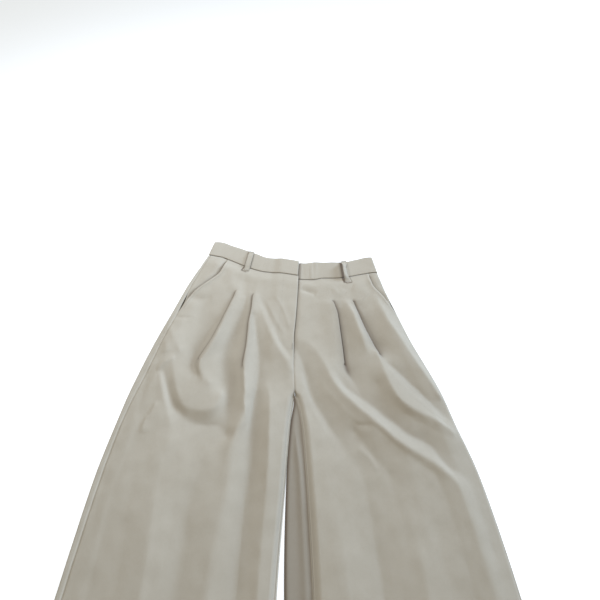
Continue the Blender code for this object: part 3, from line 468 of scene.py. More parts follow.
# The main folds' crests and feet, each point with its height off the cloth's level.
GUIDES = tuple(metres(*guide) for guide in (
    # The main diagonal fold, from the foot of the fly to the outer edge.
    (
        (24, 285, 0.5), (47, 276, 1.5), (73, 241, 3.4), (90, 203, 6.8), (120, 167, 9.2),
        (171, 122, 10), (189, 106, 10), (248, 69, 8.5), (268, 45, 7), (283, -120, 3),
        (290, -260, 1.2),
    ),
    # Its lower side.
    (
        (71, 201, 1.5), (92, 173, 4), (131, 138, 5.5), (157, 123, 6), (188, 95, 6), (221, 72, 5),
        (237, 60, 4.5), (250, 0, 2.5), (256, -90, 1),
    ),
    # The foot of its upper side.
    (
        (94, 230, 1), (105, 202, -1), (165, 154, -0.8), (177, 142, -0.6), (190, 134, -0.4),
        (200, 122, -0.2), (241, 100, 0.2), (258, 74, 0.8), (290, 50, 1.5), (297, -30, 1),
    ),
    # The fold that runs on from the outer pleat.
    (
        (175, 257, 5.5), (178, 243, 8), (189, 195, 12.4), (197, 176, 12.4), (224, 153, 11.6),
        (256, 139, 9.5), (272, 128, 8), (283, 118, 6),
    ),
    # Its lower side.
    ((168, 201, 3), (204, 150, 5), (256, 120, 4.5), (273, 107, 3.5)),
    # Its flat top.
    ((195, 217, 9), (208, 198, 8), (259, 144, 5.5), (273, 132, 4.5)),
    # The foot of its upper side.
    ((194, 234, 4.5), (205, 224, 3), (267, 156, 0), (279, 143, 0)),
    # The rise to the outer edge.
    (
        (189, 405, 0.8), (198, 361, 6.4), (208, 321, 10), (223, 288, 11.6), (236, 257, 11.6),
        (264, 201, 8.4), (276, 176, 6),
    ),
    # The hollow outside the outer pleat.
    ((140, 373, 0), (158, 328, -5), (168, 298, -6.5), (178, 273, -5), (185, 253, 0)),
    # The hollow outside the inner pleat.
    ((107, 362, 0), (113, 286, -6.8), (114, 260, -6.8), (114, 236, -5.6), (126, 201, -2.2)),
    # The steep side of those hollows.
    ((115, 352, 1.2), (119, 330, -0.4), (123, 274, -1.2), (122, 248, -1.4), (124, 229, -1.6)),
    ((151, 371, 1), (156, 353, -0.2), (175, 303, -1.6), (184, 280, -1)),
    # Between the pleats.
    ((130, 360, 3), (141, 334, 4.4), (147, 306, 5), (158, 257, 5)),
    # The valley down from the crotch.
    (
        (20, 277, -0.5), (38, 230, -4.5), (49, 183, -5.2), (73, 139, -5.2), (85, 120, -4.6),
        (97, 104, -3.8), (108, 87, -3), (117, 69, -2.6), (126, 53, -2.4), (130, 0, -2.4),
        (136, -120, -2.4), (142, -280, -2), (150, -500, -1),
    ),
    # The foot of the main fold's lower side.
    ((118, 124, -2.4), (134, 101, -1.6), (150, 80, -1), (166, 60, -0.4)),
    # The rise beside it.
    ((31, 215, -1), (37, 188, -1.2), (90, 87, -2.4), (101, 69, -2), (100, 30, -0.5)),
    # The inner edge of the leg.
    (
        (25, 184, 0), (31, 150, 1.5), (36, 110, 2), (46, -80, 1.5), (46, -280, 1), (42, -525, 0.5),
    ),
    # Lower folds.
    ((176, 55, 1.5), (190, -20, 3), (195, -150, 4), (206, -500, 2.2)),
    ((78, 20, 1.5), (86, -60, 3), (90, -200, 3.2), (92, -380, 2.4), (90, -500, 1.6)),
    ((232, -100, -1.5), (236, -220, -3), (250, -500, -1)),
    ((276, -200, 2), (280, -330, 3), (284, -480, 1.6)),
    # The edge of the outer pleat.
    (
        (-97, 395, 0.3), (-108, 363, 2.6), (-130, 289, 5.8), (-144, 257, 6.4), (-156, 236, 6),
        (-156, 227, 5.2), (-134, 200, 4.6),
    ),
    # The hollow outside the outer pleat.
    (
        (-105, 386, -0.4), (-127, 340, -1.4), (-138, 318, -3.4), (-151, 299, -7), (-160, 280, -7.2),
        (-169, 262, -6.4), (-171, 246, -4.8), (-154, 211, 0.5),
    ),
    # The dip above the flank.
    ((-163, 382, -2), (-168, 347, -6.6), (-156, 303, -7.2)),
    # The hollow outside the inner pleat.
    (
        (-77, 381, -1.2), (-88, 321, -5), (-95, 296, -6.4), (-105, 276, -7), (-110, 258, -7.2),
        (-109, 239, -7.2), (-104, 218, -7), (-95, 199, -6.8), (-93, 181, -6.4), (-95, 164, -5.8),
        (-96, 149, -5), (-95, 137, -4.2),
    ),
    # The edge of the inner pleat, and the fold that runs on from it.
    (
        (-67, 390, 0.4), (-67, 323, 4.6), (-69, 295, 6), (-72, 241, 7.6), (-70, 196, 9),
        (-67, 177, 9.2), (-67, 163, 8.8), (-66, 152, 8), (-70, 138, 7), (-81, 120, 5.8),
        (-85, 102, 5), (-86, 86, 4.5), (-85, 65, 4), (-98, -20, 3.2), (-108, -150, 2.6),
        (-116, -340, 2), (-120, -500, 1.2),
    ),
    # The valley beside that fold.
    (
        (-61, 334, 0), (-51, 280, -3), (-46, 255, -4), (-47, 202, -5.2), (-52, 161, -6.6),
        (-51, 139, -6.6), (-53, 117, -6.4), (-53, 69, -5.8), (-60, 20, -5.2), (-80, -500, -1),
    ),
    # The far side of the valley.
    (
        (-28, 198, 0), (-23, 158, 5.4), (-24, 115, 6.6), (-25, 68, 5.6), (-28, 20, 3.4),
        (-37, -100, 3.2), (-47, -280, 2.4), (-53, -500, 1.2),
    ),
    # The long fold from the inner pleat to the foot of the fly.
    (
        (-61, 380, 1), (-48, 351, 2), (-25, 294, 3), (-3, 254, 3.6), (8, 239, 3.4), (16, 222, 2.8),
    ),
    # The foot of its upper side.
    ((-52, 385, 0), (-37, 353, -0.8), (-5, 278, -1), (14, 248, 0)),
    # The left flank of the pillow.
    (
        (-225, 227, -1), (-193, 165, -3.6), (-175, 148, -3), (-152, 135, -3.4), (-131, 132, -4.6),
        (-113, 132, -4.9), (-100, 126, -4), (-90, 116, -2.4),
    ),
    # The crest of the pillow.
    (
        (-211, 247, 1.4), (-194, 199, 2.6), (-185, 179, 3.2), (-175, 164, 3), (-156, 156, 3),
        (-136, 154, 4.2), (-122, 158, 4.8), (-114, 168, 4.6), (-109, 182, 3.8),
    ),
    # The flank.
    ((-231, 314, 1.5), (-214, 286, 2.2), (-198, 262, 2.2)),
    # The flank, lower.
    ((-226, 217, 1.5), (-214, 186, 1.8), (-191, 131, 1.2)),
    # The outer flank.
    (
        (-249, 208, -1.5), (-251, 170, -2), (-247, 133, -1.6), (-262, 30, -2), (-262, -100, -2.8),
        (-278, -500, -0.8),
    ),
    # Lower folds.
    ((-187, 110, 1.2), (-197, 79, 2), (-190, -50, 4), (-192, -200, 4.2), (-214, -500, 1.8)),
    (
        (-128, 102, 0.5), (-132, 69, -0.8), (-146, 0, -2.2), (-146, -120, -3), (-166, -500, -1.2),
    ),
    # The inner edge of the leg.
    ((18, 186, 0.5), (6, 110, 1.4), (-14, -80, 1), (-37, -525, 0.3)),
    # The waist seam.
    (
        (-172, 488, 0), (-120, 470, 0), (-60, 446, 0), (33, 430, 0), (34, 421, 0), (120, 424, 0),
        (208, 439, 0),
    ),
    # The fly.
    ((33, 430, 0), (26, 347, 0), (18, 265, 0), (20, 188, 0.4)),
    # The outer edge of the right leg.
    ((-172, 488, 0), (-208, 405, 0), (-275, 188, 0), (-297, 55, 0), (-325, -525, 0)),
    # The outer edge of the left leg.
    (
        (208, 439, 0), (249, 280, 0), (281, 188, 0), (292, 135, 0), (309, 55, 0), (318, -80, 0),
        (328, -525, 0),
    ),
))


@dataclass(frozen=True)
class Drape:
    """The main folds: a skin drawn tight over guide lines that each hold it at a height.

    The guides are the crests and the feet of the folds, and the cloth runs straight from
    one to the next.
    """

    guides: tuple[Table, ...]
    low: tuple[float, float] = (-0.344, -0.544)
    size: tuple[float, float] = (0.688, 1.104)
    spacing: float = 0.002
    soft: float = 0.7
    passes: int = 110
    pull: float = 1.82

    def marks(self, step: float, shape: tuple[int, int]) -> tuple[Array, Array]:
        """Cells that the guides cross, and the height that each is held at.

        Args:
            step: the grid's spacing.
            shape: its columns in x and y.

        Returns:
            Where the grid is held, and the heights there.
        """
        total, count = np.zeros(shape), np.zeros(shape)
        for guide in self.guides:
            knots = np.array(guide)
            along = running(np.hypot(*np.diff(knots[:, :2], axis=0).T))
            line = resampled(knots, np.arange(0.0, along[-1], self.spacing / 4), along)
            cells = np.rint((line[:, :2] - self.low) / step).astype(int)
            i, j = np.clip(cells, 0, np.array(shape) - 1).T
            np.add.at(total, (i, j), line[:, 2])
            np.add.at(count, (i, j), 1)
        held = count > 0
        return held, total / np.maximum(count, 1)

    def relaxed(self, heights: Array, held: Array) -> Array:
        """The grid drawn tight between its held cells."""
        i, j = np.indices(heights.shape)
        for turn in range(2 * self.passes):
            wide = np.pad(heights, 1, mode="edge")
            mean = (wide[:-2, 1:-1] + wide[2:, 1:-1] + wide[1:-1, :-2] + wide[1:-1, 2:]) / 4
            free = ((i + j + turn) % 2 == 0) & ~held
            heights = np.where(free, heights + self.pull * (mean - heights), heights)
        return heights

    @cached_property
    def grid(self) -> Array:
        """The heights on the finest grid, worked out from coarse to fine, with softened crests."""
        heights = np.zeros((2, 2))
        for coarser in (8, 4, 2, 1):
            step = self.spacing * coarser
            shape = tuple(round(size / step) + 1 for size in self.size)
            for count in shape[::-1]:
                at = np.linspace(0, heights.shape[1] - 1, count)
                known = np.arange(heights.shape[1])
                heights = np.stack([np.interp(at, known, row) for row in heights]).T
            held, level = self.marks(step, shape)
            heights = self.relaxed(np.where(held, level, heights), held)
        weights = bell(np.arange(-4, 5), self.soft * math.sqrt(2))
        return blurred(heights, weights / weights.sum(), (0, 1))

    @cached_property
    def hollows(self) -> Array:
        """How far each point of the grid lies below the mean height around it."""
        cells = 2 * HOLLOW_CELLS + 1
        mean = blurred(self.grid, np.full(cells, 1 / cells), (0, 1, 0, 1))
        return np.maximum(mean - self.grid, 0.0)

    def height(self, x: Array, y: Array) -> Array:
        """The height of the folds at each place."""
        return self.sample(self.grid, x, y)

    def hollow(self, x: Array, y: Array) -> Array:
        """How deep in a hollow each place lies."""
        return self.sample(self.hollows, x, y)

    def sample(self, grid: Array, x: Array, y: Array) -> Array:
        """A grid's value at each place, smooth between its points."""
        last_u, last_v = np.array(grid.shape) - 2.001
        u = np.clip((x - self.low[0]) / self.spacing, 1, last_u)
        v = np.clip((y - self.low[1]) / self.spacing, 1, last_v)
        i, j = u.astype(int), v.astype(int)
        total = np.zeros(np.shape(x))
        for di, across in enumerate(spline_weights(u - i), -1):
            for dj, down in enumerate(spline_weights(v - j), -1):
                total += across * down * grid[i + di, j + dj]
        return total


def spline_weights(t: Array) -> tuple[Array, ...]:
    """Weights of four neighbours in a row for a place this far past the second."""
    first, last = (1 - t) ** 3 / 6, t**3 / 6
    return first, (3 * t**3 - 6 * t**2 + 4) / 6, (-3 * t**3 + 3 * t**2 + 3 * t + 1) / 6, last


FOLDS = Drape(GUIDES)


@dataclass(frozen=True)
class Rumple:
    """The faint unevenness of cloth that has been worn, as a sum of long low waves."""

    seed: int = 7
    waves: int = 16
    shortest: float = 0.020
    longest: float = 0.090
    size: float = 0.00045

    def height(self, x: Array, y: Array) -> Array:
        """How far the cloth stands off its smooth form at each place."""
        draw = np.random.default_rng(self.seed)
        total = np.zeros(np.shape(x))
        for _ in range(self.waves):
            length = draw.uniform(self.shortest, self.longest)
            turn = draw.uniform(0.0, math.tau)
            start = draw.uniform(0.0, math.tau)
            across = x * math.cos(turn) + y * math.sin(turn)
            total += (length / self.longest) ** 0.7 * np.sin(math.tau * across / length + start)
        return self.size * total / math.sqrt(self.waves / 2)


RUMPLE = Rumple()


@dataclass(frozen=True)
class Leg:
    """One side of the garment: its cross-sections, pleats, pocket mouth and creases.

    A place on it is a row, counted in sections from the waist seam, and a reach, the
    distance in from the leg's outer edge along that row. An arc is the same distance
    measured over the rolled edge: 0 at the outermost point, above zero on the top side
    and below zero underneath.
    """

    name: str
    side: int
    sections: tuple[Section, ...]
    pleats: tuple[Table, ...]
    mouth: Table
    band: BandEdge
    waist: Table
    creases: tuple[Crease, ...]
    over_creases: tuple[Crease, ...]
    under_width: float = 0.007  # how far from a pleat's edge the layer under it is pressed down
    over_width: float = 0.012  # how far from it the layer over it is lifted
    # The next three set the shade painted into the cloth's colour under each pleat's edge.
    painted_shade_strength: float = 0.95  # how dark the cloth is under that edge
    painted_shade_width: float = 0.0036  # how wide the darkest part is
    painted_shade_reach: float = 0.009  # how far the rest of it fades out
    loop_share: float = 0.445  # where the front belt loop stands, as a share of the width
    loop_below: float = 0.012  # how far it runs on below the waist seam
    # The strip beside the loop is a painted shadow.
    loop_shadow: float = 0.0022  # how wide the dark strip beside it is

    def column(self, name: str, row: Array | float) -> Array:
        """A section size, smoothed along the leg."""
        values = [getattr(section, name) for section in self.sections]
        return smooth(range(len(values)), values, np.asarray(row, float))

    def across(self, row: Array | float) -> tuple[Array, Array]:
        """World x and y of a row's inner end, from its outer end."""
        return tuple(self.column(f"inner_{i}", row) - self.column(f"outer_{i}", row) for i in "xy")

    def width(self, row: Array | float) -> Array:
        """How wide the front is at a row."""
        return np.hypot(*self.across(row))

    def place(self, row: Array | float, reach: Array | float) -> tuple[Array, Array]:
        """World x and y of a row and reach."""
        share = reach / self.width(row)
        dx, dy = self.across(row)
        x = self.column("outer_x", row) + share * dx
        y = self.column("outer_y", row) + share * dy - hang(self.column("dip", row), share)
        shares, seam, _ = zip(*self.waist)
        return x, y + MM * smooth(shares, seam, share) * (1 - ease(row, 0.0, 1.0))

    def crossing(self, row: Array, line: Table) -> tuple[Array, Array, list[Array]]:
        """Where the rows cross a line that runs down the leg.

        Args:
            row: the rows.
            line: its points from the top, each x, y and any other sizes.

        Returns:
            The reach and world y of each crossing, and the line's other sizes there.
        """
        xs, ys, *sizes = np.array(line)[::-1].T
        outer_x, width = self.column("outer_x", row), self.width(row)
        slope = self.across(row)[0] / width
        reach = width / 2
        for _ in range(CROSSING_PASSES):
            y = self.place(row, reach)[1]
            reach = (smooth(ys, xs, y) - outer_x) / slope
        y = self.place(row, reach)[1]
        return reach, y, [smooth(ys, values, y) for values in sizes]

    def mouth_reach(self, row: Array | float) -> Array:
        """The reach of the pocket mouth, or 0 below it."""
        reach, y, _ = self.crossing(np.asarray(row, float), self.mouth)
        return np.where(y < self.mouth_foot() + 1e-5, 0.0, reach)

    def open_mouth(self, rows: Array) -> Array:
        """Whether the pocket mouth lies in from the side seam at each row."""
        mouth = self.mouth_reach(rows)
        return (mouth > 0) & (mouth + self.unroll(rows) > self.side_seam(rows))

    def mouth_foot(self) -> float:
        """World y of the lower end of the pocket mouth."""
        return min(point[1] for point in self.mouth)

    def split(self, row: Array | float) -> Array:
        """0 above the crotch and 1 below it, where the leg is a tube."""
        return ease(np.asarray(row, float), CROTCH, CROTCH + 1)

    def loop_shade(self, reach: Array, down: Array | float) -> Array:
        """How much shadow is painted on the cloth beside the front belt loop and under its foot."""
        half = LOOP_WIDTH / 2
        towards_x = -self.side * (reach - self.loop_share * float(self.width(0.0)))
        past, past_foot = -towards_x - half, down - self.loop_below
        left = ease(past, -1.5 * MM, 0.0) * (1 - ease(past - self.loop_shadow, -1.0 * MM, 0.6 * MM))
        right = 0.75 * bell(towards_x - half - 0.4 * MM, 1.0 * MM)
        beside = np.maximum(left, right) * (1 - ease(past_foot, -1.0 * MM, 0.8 * MM))
        across = 1 - ease(np.abs(towards_x + 1.0 * MM), half, half + 1.4 * MM)
        foot = across * bell(past_foot - 0.8 * MM, 1.4 * MM)
        return LOOP_SHADE * np.maximum(beside, foot)

    def recess_shade(self, beyond: Array) -> Array:
        """How much shade is painted on the cloth beside a pleat's edge: dark at the edge, then
        fading out.
        """
        narrow, wide = bell(beyond, self.painted_shade_width), bell(beyond, self.painted_shade_reach)
        return PAINTED_SHADE_CORE * narrow + (1 - PAINTED_SHADE_CORE) * wide

    def below_waist(self, row: Array | float, reach: Array | float) -> Array:
        """How far a place lies below the waist seam."""
        return self.place(0.0 * np.asarray(row, float), reach)[1] - self.place(row, reach)[1]

    def underlay(self, row: Array | float, reach: Array | float) -> Array:
        """The middle of the back's lower wall, lifted over the belt loops at the waist."""
        return BACK_Z + STRAP_LIFT * (1 - ease(self.below_waist(row, reach), *STRAP_FADE))

    def relief(self, x: Array, y: Array) -> Array:
        """All creases added up. Above the crotch both sides of the fly share them."""
        total = RUMPLE.height(x, y) + FOLDS.height(x, y)
        for crease in self.creases:
            total = total + crease.height(x, y)
        shared = ease(y, *SHARED_Y)
        for crease in self.over_creases:
            total = total + shared * crease.height(x, y)
        return total

    def band_level(self, reach: Array | float) -> Array:
        """The middle of the front waistband's wall, away from its rolled end."""
        end_rise = BAND_BACK_Z + 2 * BAND_ROLL - BAND_FRONT_Z
        z = BAND_FRONT_Z + end_rise * bell(np.maximum(reach - BAND_ROLL, 0.0), BAND_END_FADE)
        if self.side < 0:
            lap = 1 - ease(self.width(0.0) - reach, *LAP_RISE_AT)
            z = z + (BAND_LAP_Z - BAND_FRONT_Z) * lap
        return z

    def lie(self, row: Array, reach: Array) -> Array:
        """The middle of the front's wall, away from its rolled edge and pleats."""
        x, y = self.place(row, reach)
        down = self.below_waist(row, reach)
        roll = self.column("roll", row)
        from_inner = self.width(row) - reach
        inside = 1 - self.split(row) * (1 - ease(from_inner, *TUBE_EDGE))
        z = (2 * roll + BACK_Z - REST_Z) * bell(np.maximum(reach - roll, 0.0), EDGE_FADE)
        z = z + PLATEAU * ease(reach, *PLATEAU_RISE) * inside
        z = z + self.relief(x, y) * ease(down, *FOLDS_FADE) * inside
        past_facing = reach - self.mouth_reach(row) - FACING_UNDER
        beside = ease(y - self.mouth_foot(), -FACING_FADE, 0.0)
        z = z + FACING_BULGE * (1 - ease(past_facing, *FACING_EDGE)) * beside
        rest = REST_Z + self.underlay(row, reach) - BACK_Z
        z = rest + SETTLE * np.logaddexp(0.0, z / SETTLE)
        fly = ease(y, *FLY_CLOSED_Y)
        if self.side < 0:
            z = z + (1 - ease(from_inner, *LAP_RISE_AT)) * fly * LAP_RISE
        else:
            z = z - FLY_DIP * bell(from_inner, FLY_DIP_WIDTH) * fly * ease(down, *FLY_DIP_START)
        return z + bell(down, BAND_BLEND) * (self.band_level(reach) - z)

    def roll_over(self, row: Array, arc: Array) -> tuple[Array, Array]:
        """Reach of an arc, and its share of the top side's height."""
        roll = self.column("roll", row)
        turn, past = rolling(arc, roll)
        return roll * (1 - np.cos(turn)) + past, np.sin(turn)

    def unroll(self, row: Array) -> Array:
        """How much longer an arc is than its reach, on the top side."""
        return self.column("roll", row) * (np.pi / 2 - 1)

    def seam_arc(self, inset: Array, roll: Array | float) -> Array:
        """The arc of a seam that lies this far in from the outermost point."""
        turn = np.arccos(np.clip(1 - inset / roll, 0.0, 1.0))
        return roll * turn + np.maximum(inset - roll, 0.0)

    def side_seam(self, row: Array) -> Array:
        """The arc of the side seam at each row."""
        return self.seam_arc(self.column("inset", row), self.column("roll", row))

    def top_point(self, row: Array, arc: Array) -> tuple[Array, Array, Array]:
        """World point of the cloth's top side at a row and arc, without the pleats."""
        reach, share = self.roll_over(row, arc)
        x, y = self.place(row, reach)
        middle = self.underlay(row, reach) + self.column("roll", row)
        z = middle + (self.lie(row, reach) - middle) * share
        low = middle + self.column("roll", row) * share
        return x, y, np.where(arc >= 0, z, low)

    def rows(self, share: float = 1.0) -> Array:
        """Mesh rows from the waist seam to the hem, as a column."""
        rows: list[float] = []
        for number, section in enumerate(self.sections[:-1]):
            count = max(2, round(section.rows * share))
            rows.extend(number + step / count for step in range(count))
        rows.append(len(self.sections) - 1.0)
        return np.array(rows)[:, None]


def pleat_profile() -> Array:
    """The pleat's end-on shape, rounded through its points."""
    points = np.array(PLEAT_PROFILE)
    padded = np.vstack([2 * points[0] - points[1], points, 2 * points[-1] - points[-2]])
    at = np.linspace(0, len(points) - 1, PLEAT_COLUMNS)
    i = np.clip(at.astype(int), 0, len(points) - 2)
    t = (at - i)[:, None]
    a, b, c, d = (padded[i + k] for k in range(4))
    squared, cubed = 2 * a - 5 * b + 4 * c - d, 3 * b - a - 3 * c + d
    return 0.5 * (2 * b + (c - a) * t + squared * t**2 + cubed * t**3)


def spaced(low: Array, high: Array, count: int, ends: bool = False) -> Array:
    """Evenly spaced values between two columns of ends, one row each."""
    return low + (high - low) * np.linspace(0.0, 1.0, count, endpoint=ends)[None, :]


@dataclass(frozen=True)
class Sheet:
    """A grid of points on a piece of cloth, with its own cloth coordinates.

    points is rows x columns x 3, cloth rows x columns x 2 in metres along the weave, and
    wear_and_shade rows x columns, 0 to 1 where an edge or a seam has rubbed and below zero
    where shade is painted into the colour.
    """

    points: Array
    cloth: Array
    wear_and_shade: Array

    def turned(self) -> "Sheet":
        """The same sheet with its rows as columns."""
        return Sheet(self.points.transpose(1, 0, 2), self.cloth.transpose(1, 0, 2), self.wear_and_shade.T)

    def rows(self, chosen: Array | slice) -> "Sheet":
        """A sheet of some of the rows."""
        return Sheet(self.points[chosen], self.cloth[chosen], self.wear_and_shade[chosen])

    def cut(self) -> tuple[float, float, float]:
        """The width, length and area of the flat cloth that it takes."""
        across, down = np.diff(self.points, axis=1), np.diff(self.points, axis=0)
        area = np.linalg.norm(np.cross(across[:-1], down[:, :-1]), axis=2).sum()
        width = round(float(steps_along(self.points, 1).sum(axis=1).max()), 3)
        length = round(float(steps_along(self.points, 0).sum(axis=0).max()), 3)
        return width, length, min(round(float(area), 4), width * length)


def leg_piece(finishes: "Finishes", kind: str, leg: Leg, sheet: Sheet, sign: int) -> Piece:
    """A sheet of one leg as a dressed piece, which stands for the solid of the same name."""
    name = f"{kind}_{leg.name}"
    piece = sheet_object(f"{name}_cloth", sheet, sign, WEAVE_WALL)
    dress(piece, finishes.cloth, "cloth", name)
    return piece


def panel_cloth(points: Array) -> Array:
    """Cloth coordinates of a grid of points: metres across the rows and down the panel."""
    across = running(steps_along(points, 1))
    down = running(steps_along(points, 0).mean(axis=1))[:, None]
    middle = across[:, across.shape[1] // 2][:, None]
    return np.stack(np.broadcast_arrays(across - middle + middle.mean(), down), axis=2)


def line_beside(sheet: Sheet, sign: int, inset: Array | float, from_end: bool = False) -> Path:
    """A line on the outside of a sheet, this far in from its first or last column.

    Args:
        sheet: the grid.
        sign: turns the grid's normals to the outside of the cloth.
        inset: the distance in, one for each row or one for all.
        from_end: measures from the last column.

    Returns:
        The line, one point for each row.
    """
    points, normals = sheet.points, outward(sheet.points, sign)
    if from_end:
        points, normals = points[:, ::-1], normals[:, ::-1]
    reach = running(steps_along(points, 1))
    places = list(zip(np.broadcast_to(inset, len(points)), reach))
    line, up = (
        np.array([[np.interp(*at, size) for size in row.T] for at, row in zip(places, grid)])
        for grid in (points, normals)
    )
    return line + up * (WEAVE_WALL / 2 + THREAD_LIFT), up


def seam_sink(distance: Array) -> Array:
    """How far a panel turns down into its seam, this far from it."""
    return -SEAM_DEPTH * bell(distance, SEAM_WIDTH)


@dataclass(frozen=True)
class Fold:
    """A pleat on its panel's grid: its edge, its two heights, and the columns it takes.

    upper is, in those columns, 0 on the lower layer and 1 on the upper one.
    """

    centre: Array
    step: Array
    sink: Array
    columns: slice
    upper: Array

    def laid(self, leg: Leg, arc: Array) -> tuple[Array, Array]:
        """How far the pleat lifts each point of the panel, and how much shade is painted on it."""
        beyond = arc - self.centre
        under, over = np.minimum(beyond, 0.0), np.maximum(beyond, 0.0)
        upper = (beyond > 0).astype(float)
        upper[:, self.columns] = self.upper
        pressed = self.sink * bell(under, leg.under_width) * (1 - upper)
        shut = ease(self.step, *SHUT_STEP)
        shade = leg.painted_shade_strength * shut * leg.recess_shade(under) * (1 - upper)
        return self.step * bell(over, leg.over_width) * upper - pressed, shade


@dataclass(frozen=True)
class FrontPanel:
    """The front of one leg, with both pleats folded into it."""

    leg: Leg
    outer_columns: int = 42
    middle_columns: int = 20
    inner_columns: int = 38
    fold_margin: float = 0.0015  # from a pleat to the next even column
    gape_width: float = 0.009  # how far in from its edge the pocket's mouth stands open
    gape_start: tuple[float, float] = (0.0, 0.025)  # down from the waist seam
    inseam_roll: float = 0.0045  # how near to the inseam the cloth turns down to the back
    # Shade painted into the cloth's colour beside the fly's edge, along the centre seam, at the
    # crotch and under the waist seam:
    fly_shade: float = 0.75
    fly_shade_width: float = 0.0024
    centre_shade: float = 0.06  # along the seam between the fly and the crotch
    crotch_shade: float = 0.75
    crotch_height: float = 0.009
    crotch_width: float = 0.0022
    waist_shade: float = 0.6
    waist_shade_width: float = 0.0014
    # Where the shade painted in the folds' hollows begins and is whole:
    hollow_start: tuple[float, float] = (0.010, 0.040)  # down from the waist seam

    def columns(self, rows: Array, start: Array, end: Array) -> tuple[Array, list[Fold]]:
        """Arcs of the panel's columns, with its pleats folded in.

        Args:
            rows: the mesh rows.
            start: the arc of the first column in each row.
            end: the arc of the last one.

        Returns:
            The arcs, rows x columns, and the folds in them.
        """
        parts = [start + SEAM_STEPS]
        low = start + SEAM_MARGIN
        folds: list[Fold] = []
        profile = pleat_profile()
        opened = np.linspace(-1.0, 1.0, PLEAT_COLUMNS)[None, :]
        for pleat, count in zip(self.leg.pleats, (self.outer_columns, self.middle_columns)):
            reach, _, (overlap, step, sink) = self.leg.crossing(rows, pleat)
            centre = reach + self.leg.unroll(rows)
            parts.append(spaced(low, centre - PLEAT_MARGIN, count))
            folded = ease(overlap, 0.0, FOLDED_OVERLAP)
            margin, inward, upward, share = profile.T
            shut = margin * PLEAT_MARGIN + inward * overlap + upward * (step + sink)
            arc = centre + opened * PLEAT_MARGIN + folded * (shut - opened * PLEAT_MARGIN)
            upper = folded * share + (1 - folded) * ease(opened, -1.0, 1.0)
            first = sum(part.shape[1] for part in parts)
            folds.append(Fold(centre, step, sink, slice(first, first + PLEAT_COLUMNS), upper))
            parts.append(arc)
            low = arc[:, -1:] + self.fold_margin
        parts.append(spaced(low, end - SEAM_MARGIN, self.inner_columns))
        parts.append(end - SEAM_STEPS[::-1])
        return np.concatenate(parts, axis=1), folds

    def sheet(self) -> Sheet:
        """The panel's grid, from the side seam or pocket mouth in to the fly or inseam."""
        leg = self.leg
        rows = leg.rows()
        width, unroll, split = leg.width(rows), leg.unroll(rows), leg.split(rows)
        mouth = leg.mouth_reach(rows)
        seam = leg.side_seam(rows) + SEAM_GAP
        start = np.maximum(seam, mouth + unroll)
        end = width + unroll + leg.column("underlap", rows) - SEAM_GAP
        arc, folds = self.columns(rows, start, end)
        x, y, z = leg.top_point(rows, arc)
        # Shade painted into the colour under each pleat's edge, added up with the rest below.
        shade = 0.0
        for fold in folds:
            rise, dark = fold.laid(leg, arc)
            z, shade = z + rise, shade + dark
        from_start, from_end = arc - start, end - arc
        down = leg.below_waist(rows, arc - unroll)
        at_mouth = leg.open_mouth(rows) * ease(mouth + unroll - seam, 0.0, 0.010)
        gape = at_mouth * bell(from_start, self.gape_width) * ease(down, *self.gape_start)
        z = z + POCKET_GAPE * gape
        z = z + seam_sink(from_start) * (1 - 0.4 * at_mouth) + seam_sink(from_end) * 0.9
        z = z + seam_sink(np.maximum(down, 0.0)) * 0.8
        inner_turn = np.arccos(np.clip(1 - leg.column("spread", rows) / INNER_ROLL, 0.0, 1.0))
        inner_turn = inner_turn * split + np.pi / 2 * (1 - split)
        low_edge = BACK_Z + INNER_ROLL * (1 + np.sin(inner_turn))
        z = z + split * (1 - ease(from_end, 0.0, self.inseam_roll)) * (low_edge - z)
        # Shade painted into the colour beside the fly's edge, along the centre seam, at the crotch,
        # under the waist seam, in the folds' hollows and beside the belt loop.
        fly = ease(y, *FLY_CLOSED_Y)
        if leg.side > 0:
            beside = bell(width - (arc - unroll), self.fly_shade_width) * ease(down, -0.002, 0.004)
            shade = shade + self.fly_shade * fly * beside
        crotch = self.centre_shade * (1 - fly) * (1 - split)
        crotch = crotch + self.crotch_shade * bell(y - CROTCH_Y, self.crotch_height)
        shade = shade + crotch * bell(from_end, self.crotch_width)
        shade = shade + self.waist_shade * bell(down, self.waist_shade_width)
        shade = shade + HOLLOW_SHADE * FOLDS.hollow(x, y) * ease(down, *self.hollow_start)
        shade = np.maximum(shade, leg.loop_shade(arc - unroll, down))
        # The rubbed strips along the seams are the cloth's own wear; the painted shade goes below
        # zero.
        wear_and_shade = np.maximum(bell(from_start, WEAR_WIDTH), split * bell(from_end, WEAR_WIDTH))
        return with_hem(np.stack([x, y, z], axis=2), wear_and_shade - shade, leg.side)

    def make(self, finishes: "Finishes") -> None:
        leg = self.leg
        sheet = self.sheet()
        rows = leg.rows()
        panel = leg_piece(finishes, "front", leg, sheet, leg.side)
        flat = sheet.rows(slice(len(rows)))
        pocket = flat.rows(leg.open_mouth(rows).ravel())
        mouth_line = line_beside(pocket, leg.side, POCKET_STITCH_INSET)
        sewn = [
            finishes.sewn(f"pocket_stitches_{leg.name}", [mouth_line]),
            finishes.sewn(f"hem_stitches_front_{leg.name}", [hem_line(flat, leg.side)]),
        ]
        if leg.side < 0:
            fly = flat.rows((leg.place(rows, leg.width(rows))[1] >= FLY_STITCH_FOOT).ravel())
            sewn.append(finishes.sewn("fly_stitches", [self.fly_line(fly)]))
            foot = fly.rows(slice(-FLY_TACK_ROWS, None))
            tack = line_beside(foot, leg.side, FLY_TACK_INSET, True)
            sewn.append(finishes.sewn("fly_tack", [tack], TACK))
        sheet.cut()

